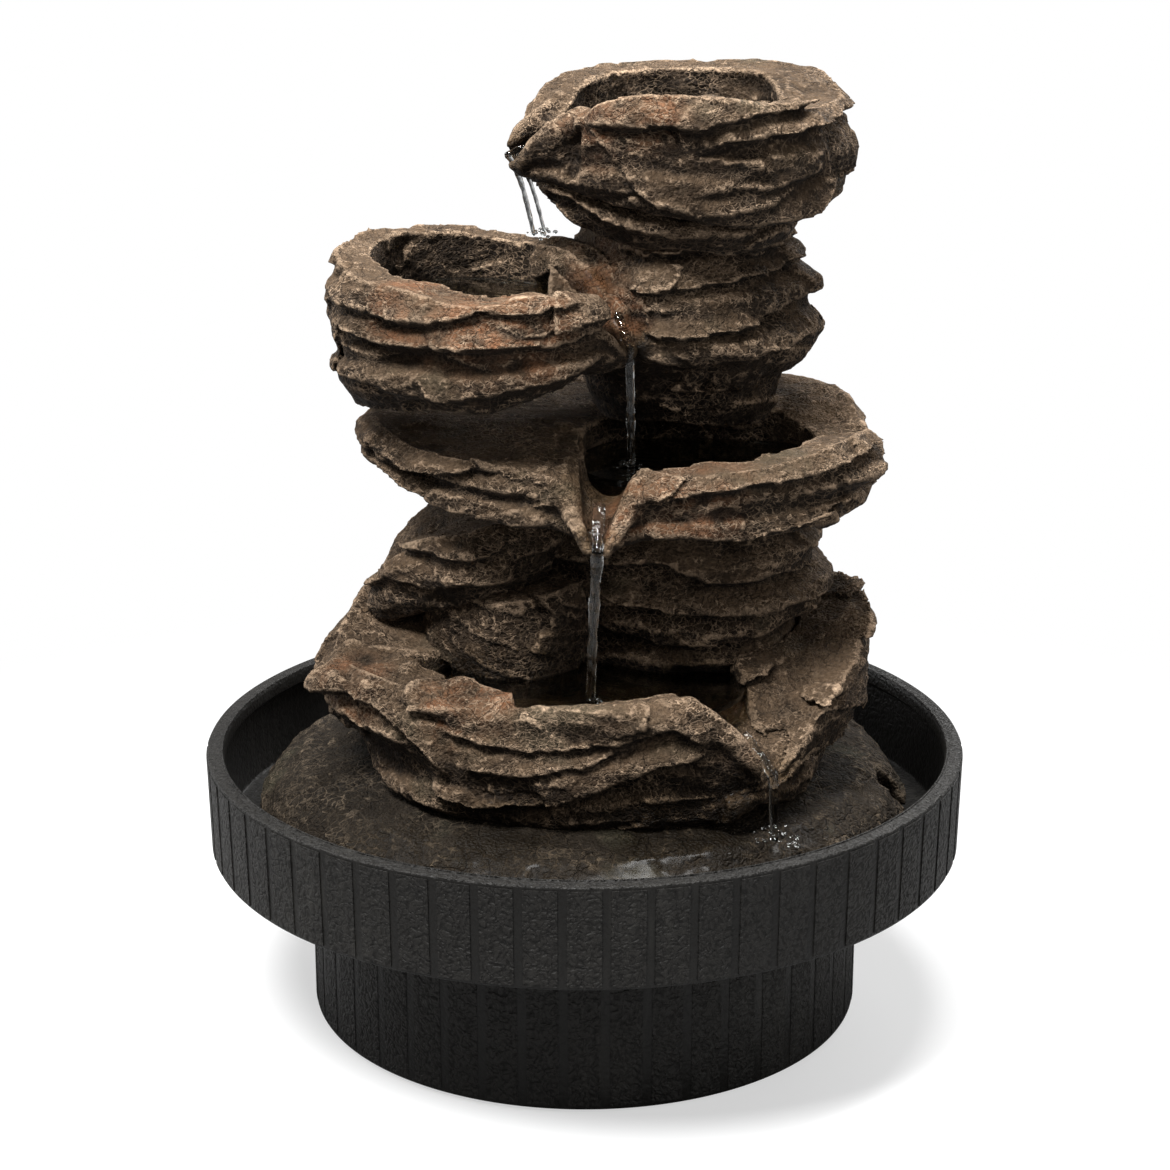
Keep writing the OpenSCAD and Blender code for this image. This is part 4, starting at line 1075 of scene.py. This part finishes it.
def buildPanelTree():
    # grained panels stand a hair proud of a round wall, side by side with smooth strips between them
    tree, given, out = startTree("wallPanels", [
        ("Radius", number), ("Slope", number), ("Low", number), ("High", number), ("Count", "NodeSocketInt"),
        ("Width", number), ("Proud", number), ("Material", "NodeSocketMaterial")])
    use = given.outputs
    height = calc(tree, "SUBTRACT", use["High"], use["Low"])
    size = put(tree, "ShaderNodeCombineXYZ", {0: use["Width"], 1: use["Proud"], 2: height})
    block = put(tree, "GeometryNodeMeshCube", {"Size": size.outputs[0], "Vertices X": 7, "Vertices Y": 2,
        "Vertices Z": 3})
    place = put(tree, "ShaderNodeSeparateXYZ", {0: put(tree, "GeometryNodeInputPosition").outputs[0]})
    turn = calc(tree, "DIVIDE", place.outputs[0], use["Radius"])
    up = calc(tree, "ADD", place.outputs[2], calc(tree, "MULTIPLY", height, 0.5))
    fromAxis = calc(tree, "ADD", calc(tree, "SUBTRACT", use["Radius"], place.outputs[1]),
        calc(tree, "MULTIPLY", up, use["Slope"]))
    bent = put(tree, "ShaderNodeCombineXYZ", {
        0: calc(tree, "MULTIPLY", calc(tree, "SINE", turn), fromAxis),
        1: calc(tree, "MULTIPLY", calc(tree, "COSINE", turn), calc(tree, "MULTIPLY", fromAxis, -1.0)),
        2: calc(tree, "ADD", up, use["Low"])})
    moved = put(tree, "GeometryNodeSetPosition", {"Geometry": block.outputs[0], "Position": bent.outputs[0]})
    spots = put(tree, "GeometryNodePoints", {"Count": use["Count"]})
    index = put(tree, "GeometryNodeInputIndex").outputs[0]
    share = calc(tree, "DIVIDE", calc(tree, "MULTIPLY", index, 2 * math.pi), use["Count"])
    around = put(tree, "ShaderNodeCombineXYZ", {2: share})
    copies = put(tree, "GeometryNodeInstanceOnPoints", {
        "Points": spots.outputs[0], "Instance": moved.outputs[0], "Rotation": around.outputs[0]})
    endTree(tree, given, out, copies.outputs[0])
    return tree


panelTree = buildPanelTree()
panelSizes = {
    "ring_panels": {"Radius": 0.1045, "Slope": 0.0218, "Low": 0.0499, "High": 0.0760, "Count": 60,
        "Width": 0.0086, "Proud": 0.0004},
    "foot_panels": {"Radius": 0.0770, "Slope": 0.0, "Low": 0.0022, "High": 0.0480, "Count": 44,
        "Width": 0.0084, "Proud": 0.0003},
}
for panelName, panelValues in panelSizes.items():
    panels = runTree(panelName, panelTree, dict(panelValues, Material=grainedBlack))
    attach(panels, "bowl")
say("basin with its grained panels")


def waterMaterial(name, colour, roughness, ripple):
    made, tree, shader, where = startMaterial(name)
    shader.inputs["Transmission Weight"].default_value = 1.0
    shader.inputs["IOR"].default_value = 1.33
    shift = put(tree, "ShaderNodeTexNoise", {"Vector": where, "Scale": ripple, "Detail": 3.0}).outputs[0]
    tree.links.new(blendColour(tree, ramp(tree, shift, 0.35, 0.75, 0.0, 0.5), rgb(*colour), rgb(1, 1, 1)),
        shader.inputs["Base Color"])
    shader.inputs["Roughness"].default_value = roughness
    bumpInto(tree, shader, shift, 0.35, 0.0004)
    return made


clearWater = waterMaterial("clearWater", (0.93, 0.95, 0.94), 0.02, 420.0)
poolWater = waterMaterial("poolWater", (0.50, 0.50, 0.42), 0.03, 160.0)


def poolPiece(name, outline, level, drops, depth=1.6):
    # water surface: rings from the middle out to the outline, rippled round each place where water falls in
    outline = np.array(outline, float)
    middle = outline.mean(0)
    steps, rings = 120, 26
    edge = []
    for k in range(steps):
        u = k * len(outline) / steps
        i, t = int(u), u - int(u)
        p = [outline[(i + j) % len(outline)] for j in (-1, 0, 1, 2)]
        edge.append(0.5 * ((2 * p[1]) + (p[2] - p[0]) * t + (2 * p[0] - 5 * p[1] + 4 * p[2] - p[3]) * t * t
                           + (3 * p[1] - p[0] - 3 * p[2] + p[3]) * t ** 3))
    edge = np.array(edge)
    shares = (np.arange(rings) + 1) / rings
    flat = np.concatenate([[middle]] + [middle + (edge - middle) * share for share in shares])
    height = np.zeros(len(flat))
    for x, y, size in drops:
        d = np.hypot(flat[:, 0] - x, flat[:, 1] - y)
        height += size * np.cos(d * 2 * math.pi / 3.4) * np.exp(-d / 4.5) * smooth(d, 0.2, 1.8)
    top = np.column_stack([flat, level + height])
    low = np.column_stack([edge * 0.995 + middle * 0.005, np.full(steps, level - depth)])
    points = np.concatenate([top, low, [[middle[0], middle[1], level - depth]]])
    faces = []
    for k in range(steps):
        n = (k + 1) % steps
        faces.append((0, 1 + k, 1 + n))
        for i in range(rings - 1):
            faces.append((1 + i * steps + k, 1 + (i + 1) * steps + k, 1 + (i + 1) * steps + n,
                1 + i * steps + n))
        rim, base = 1 + (rings - 1) * steps, len(top)
        faces.append((rim + k, base + k, base + n, rim + n))
        faces.append((len(points) - 1, base + n, base + k))
    data = bpy.data.meshes.new(name)
    data.from_pydata((points * mm).tolist(), [], faces)
    data.materials.append(poolWater)
    piece = bpy.data.objects.new(name, data)
    bpy.context.scene.collection.objects.link(piece)
    check = bmesh.new()
    check.from_mesh(data)
    bmesh.ops.recalc_face_normals(check, faces=check.faces)
    check.to_mesh(data)
    check.free()
    shadeSmooth(piece, 60)
    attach(piece, "cascade")
    return piece


pools = {
    "pool_top": ([(50, 0), (45, 19), (27, 27), (9, 23), (-1, 8), (-3, -7), (9, -20), (24, -26), (42, -20)],
        243.0, [(26, 14, 0.35)]),
    "pool_second": ([(-9, -8), (-15, 8), (-34, 13), (-49, 5), (-55, -12), (-46, -28), (-28, -36), (-13, -30)],
        204.5, [(-16, 2, 0.25)]),
    "pool_third": ([(63, -10), (51, 1), (28, 4), (11, 3), (1, -8), (-1, -24), (5, -37), (16, -39), (40, -36),
        (57, -26)], 161.6, [(12.3, -28, 0.35)]),
    "pool_lower": ([(43, -30), (37, -9), (10, -3), (-18, -7), (-41, -20), (-45, -33), (-24, -49), (5, -56),
        (26, -56), (39, -46)], 104.0, [(1.4, -50, 0.30)]),
}
for poolName, (poolEdge, poolLevel, poolDrops) in pools.items():
    poolPiece(poolName, poolEdge, poolLevel, poolDrops)


def buildStreamTree():
    # falling water: a round thread along a path, thicker where it leaves, with twisting waists
    tree, given, out = startTree("fallingWater", [
        ("Width", number), ("Thin", number), ("Wobble", number), ("Seed", number),
        ("Material", "NodeSocketMaterial")])
    use = given.outputs
    line = put(tree, "GeometryNodeMeshToCurve", {0: use["Geometry"]})
    fine = put(tree, "GeometryNodeResampleCurve", {"Curve": line.outputs[0], "Count": 90})
    along = put(tree, "GeometryNodeSplineParameter").outputs[0]
    taper = put(tree, "ShaderNodeMapRange", {0: along, 1: 0.0, 2: 1.0, 3: 1.0, 4: use["Thin"]}).outputs[0]
    onward = calc(tree, "ADD", calc(tree, "MULTIPLY", along, 9.0), use["Seed"])
    beads = put(tree, "ShaderNodeTexNoise", {"W": onward, "Scale": 1.0, "Detail": 2.0},
        noise_dimensions="1D").outputs[0]
    waist = calc(tree, "ADD", 0.75, calc(tree, "MULTIPLY", beads, 0.5))
    radius = calc(tree, "MULTIPLY", calc(tree, "MULTIPLY", taper, waist), use["Width"])
    ring = put(tree, "GeometryNodeCurvePrimitiveCircle", {"Resolution": 20, "Radius": 1.0})
    tube = put(tree, "GeometryNodeCurveToMesh", {
        "Curve": fine.outputs[0], "Profile Curve": ring.outputs[0], "Scale": radius, "Fill Caps": True})
    place = put(tree, "GeometryNodeInputPosition").outputs[0]
    stretched = vectorCalc(tree, "MULTIPLY", place, (900.0, 900.0, 120.0))
    flute = put(tree, "ShaderNodeTexNoise", {"Vector": stretched, "Scale": 1.0, "Detail": 1.0})
    push = scaled(tree, vectorCalc(tree, "SUBTRACT", flute.outputs[1], (0.5, 0.5, 0.5)), use["Wobble"])
    moved = put(tree, "GeometryNodeSetPosition", {"Geometry": tube.outputs[0], "Offset": push})
    smoothed = put(tree, "GeometryNodeSetShadeSmooth", {0: moved.outputs[0]})
    endTree(tree, given, out, smoothed.outputs[0])
    return tree


streamTree = buildStreamTree()


def fall(start, speed, end, count=16):
    # a thrown path from start to end: level speed at first, then down
    start, end = np.array(start, float), np.array(end, float)
    t = np.linspace(0, 1, count)[:, None]
    path = start + (end - start) * t
    path[:, 2] = start[2] + (end[2] - start[2]) * (t[:, 0] * speed + t[:, 0] ** 2 * (1 - speed))
    return [tuple(p) for p in path]


streams = {
    "fall_top_a": ([(-12, -9, 243.2), (-17, -10.6, 242.6)]
        + fall((-20, -11.5, 241.2), 0.35, (-13.5, 2.0, 218)), 0.0009, 0.6),
    "fall_top_b": ([(-11, -8, 243.0), (-15.5, -9.2, 242.2)]
        + fall((-18, -9.5, 240.6), 0.35, (-10.5, 3.5, 217.5)), 0.0007, 0.6),
    "fall_second": ([(8.5, -24, 202), (10.4, -28.2, 197.4)] + fall((11.6, -30.2, 194), 0.6, (12.3, -28, 161)),
        0.0013, 0.75),
    "fall_third": ([(3.8, -50, 158.2), (3.4, -57.5, 151.6)] + fall((3.3, -60, 148.6), 0.6, (1.4, -52, 103.5)),
        0.0016, 0.7),
    "fall_lower": ([(41, -58, 99), (46.4, -63.5, 93.4)] + fall((48.4, -65.6, 90.4), 0.6, (49, -64, 72.5)),
        0.0014, 0.8),
}
for streamSeed, (streamName, (streamPath, streamWidth, streamThin)) in enumerate(streams.items()):
    links = [(i, i + 1) for i in range(len(streamPath) - 1)]
    stream = runTree(streamName, streamTree, {
        "Width": streamWidth, "Thin": streamThin, "Wobble": 0.0004, "Seed": 3.7 * streamSeed,
        "Material": clearWater}, streamPath, links)
    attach(stream, "cascade")


def buildDropTree():
    # drops thrown up round a place, each a small uneven ball
    tree, given, out = startTree("thrownDrops", [
        ("Spread", number), ("Rise", number), ("Count", "NodeSocketInt"), ("Size", number),
        ("Seed", "NodeSocketInt"), ("Material", "NodeSocketMaterial")])
    use = given.outputs
    spots = put(tree, "GeometryNodeDuplicateElements", {"Geometry": use["Geometry"], "Amount": use["Count"]},
        domain="POINT")
    copy = spots.outputs[1]
    drawn = []
    for k, (least, most) in enumerate(((0.0, 2 * math.pi), (0.25, 1.0), (0.0, 1.0), (0.45, 1.0))):
        seed = calc(tree, "ADD", use["Seed"], k) if k else use["Seed"]
        values = {"Min": least, "Max": most, "ID": copy, "Seed": seed}
        drawn.append(put(tree, "FunctionNodeRandomValue", values, data_type="FLOAT").outputs[1])
    turnOut, farOut, highOut, bigOut = drawn
    reach = calc(tree, "MULTIPLY", farOut, use["Spread"])
    offset = put(tree, "ShaderNodeCombineXYZ", {
        0: calc(tree, "MULTIPLY", calc(tree, "COSINE", turnOut), reach),
        1: calc(tree, "MULTIPLY", calc(tree, "SINE", turnOut), reach),
        2: calc(tree, "MULTIPLY", calc(tree, "MULTIPLY", highOut, calc(tree, "SUBTRACT", 1.15, farOut)),
            use["Rise"])})
    moved = put(tree, "GeometryNodeSetPosition", {"Geometry": spots.outputs[0], "Offset": offset.outputs[0]})
    ball = put(tree, "GeometryNodeMeshIcoSphere", {"Radius": 1.0, "Subdivisions": 2})
    size = calc(tree, "MULTIPLY", bigOut, use["Size"])
    squat = put(tree, "ShaderNodeCombineXYZ", {0: size, 1: size, 2: calc(tree, "MULTIPLY", size, 0.7)})
    copies = put(tree, "GeometryNodeInstanceOnPoints", {"Points": moved.outputs[0],
        "Instance": ball.outputs[0], "Scale": squat.outputs[0]})
    smoothed = put(tree, "GeometryNodeSetShadeSmooth", {0: copies.outputs[0]})
    endTree(tree, given, out, smoothed.outputs[0])
    return tree


dropTree = buildDropTree()
splashes = {
    "drops_plate": ((49, -64, 72.8), 0.0085, 0.0035, 26, 0.0008),
    "drops_lower": ((1.4, -51, 104.4), 0.0050, 0.0025, 14, 0.0006),
    "drops_third": ((12.3, -28, 162.0), 0.0050, 0.0025, 14, 0.0006),
    "drops_second": ((-11, 2.5, 217.6), 0.0060, 0.0020, 16, 0.0007),
}
for dropSeed, (dropName, dropValues) in enumerate(splashes.items()):
    dropPlace, dropSpread, dropRise, dropCount, dropSize = dropValues
    drops = runTree(dropName, dropTree, {
        "Spread": dropSpread, "Rise": dropRise, "Count": dropCount, "Size": dropSize,
        "Seed": 10 * dropSeed + 3, "Material": clearWater}, [dropPlace])
    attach(drops, "cascade")
say("pools, falls and drops")

finishes = {
    "pad_rubber": mouldedMaterial("padRubber", (0.025, 0.025, 0.025), 0.75, 2200.0, 0.5),
    "hose_silicone": mouldedMaterial("hoseSilicone", (0.52, 0.52, 0.48), 0.38, 900.0, 0.10, 0.85, 0.45),
    "pump_plastic": mouldedMaterial("pumpPlastic", (0.016, 0.016, 0.017), 0.48, 1700.0, 0.35),
    "core_steel": mouldedMaterial("coreSteel", (0.30, 0.30, 0.31), 0.40, 2600.0, 0.3, 0.6, 0.5, 1.0),
    "coil_copper": mouldedMaterial("coilCopper", (0.52, 0.20, 0.08), 0.30, 3000.0, 0.5, 0.7, 0.5, 1.0),
    "potting_resin": mouldedMaterial("pottingResin", (0.012, 0.012, 0.014), 0.22, 500.0, 0.15, 1.4, 0.5),
    "seal_rubber": mouldedMaterial("sealRubber", (0.020, 0.018, 0.018), 0.62, 1900.0, 0.4),
    "shaft_ceramic": mouldedMaterial("shaftCeramic", (0.78, 0.78, 0.74), 0.18, 3000.0, 0.08, 0.9, 0.5),
    "magnet_ferrite": mouldedMaterial("magnetFerrite", (0.055, 0.055, 0.060), 0.45, 2500.0, 0.5, 1.6, 0.5),
    "impeller_plastic": mouldedMaterial("impellerPlastic", (0.66, 0.66, 0.62), 0.42, 1600.0, 0.15, 0.85, 0.4),
    "filter_foam": mouldedMaterial("filterFoam", (0.022, 0.026, 0.026), 0.92, 700.0, 1.0, 1.8, 0.1),
    "regulator_plastic": mouldedMaterial("regulatorPlastic", (0.36, 0.36, 0.36), 0.45, 1600.0, 0.2, 1.3, 0.4),
    "black_plastic": grainedBlack, "cast_stone": castStone, "wet_stone": wetStone,
}
for part in frame["record"]["subparts"]:
    shown = frame["nodes"][part["node"]].data
    shown.materials.clear()
    shown.materials.append(finishes[part["material_slot"]])
say("finishes on the carried-over parts")

floorPaint = bpy.data.materials.new("studioFloor")
floorPaint.use_nodes = True
floorTree = floorPaint.node_tree
floorTree.nodes.clear()
floorSeen = put(floorTree, "ShaderNodeLightPath").outputs["Is Camera Ray"]
floorTone = blendColour(floorTree, floorSeen, rgb(0.30, 0.30, 0.30), rgb(0.93, 0.93, 0.93))
floorMatt = put(floorTree, "ShaderNodeBsdfDiffuse", {0: floorTone})
floorLit = put(floorTree, "ShaderNodeEmission", {0: rgb(1, 1, 1), 1: 1.0})
floorPlace = put(floorTree, "ShaderNodeTexCoord").outputs["Object"]
floorFar = put(floorTree, "ShaderNodeVectorMath", {0: floorPlace}, operation="LENGTH").outputs[1]
floorShare = calc(floorTree, "MULTIPLY", ramp(floorTree, floorFar, 0.10, 0.36, 0.55, 1.0), floorSeen)
floorMix = put(floorTree, "ShaderNodeMixShader", {0: floorShare, 1: floorMatt.outputs[0],
    2: floorLit.outputs[0]})
put(floorTree, "ShaderNodeOutputMaterial", {0: floorMix.outputs[0]})
floorMesh = bpy.data.meshes.new("floor")
floorMesh.from_pydata([(-4, -4, 0), (4, -4, 0), (4, 4, 0), (-4, 4, 0)], [], [(0, 1, 2, 3)])
floorMesh.materials.append(floorPaint)
floor = bpy.data.objects.new("floor", floorMesh)
bpy.context.scene.collection.objects.link(floor)
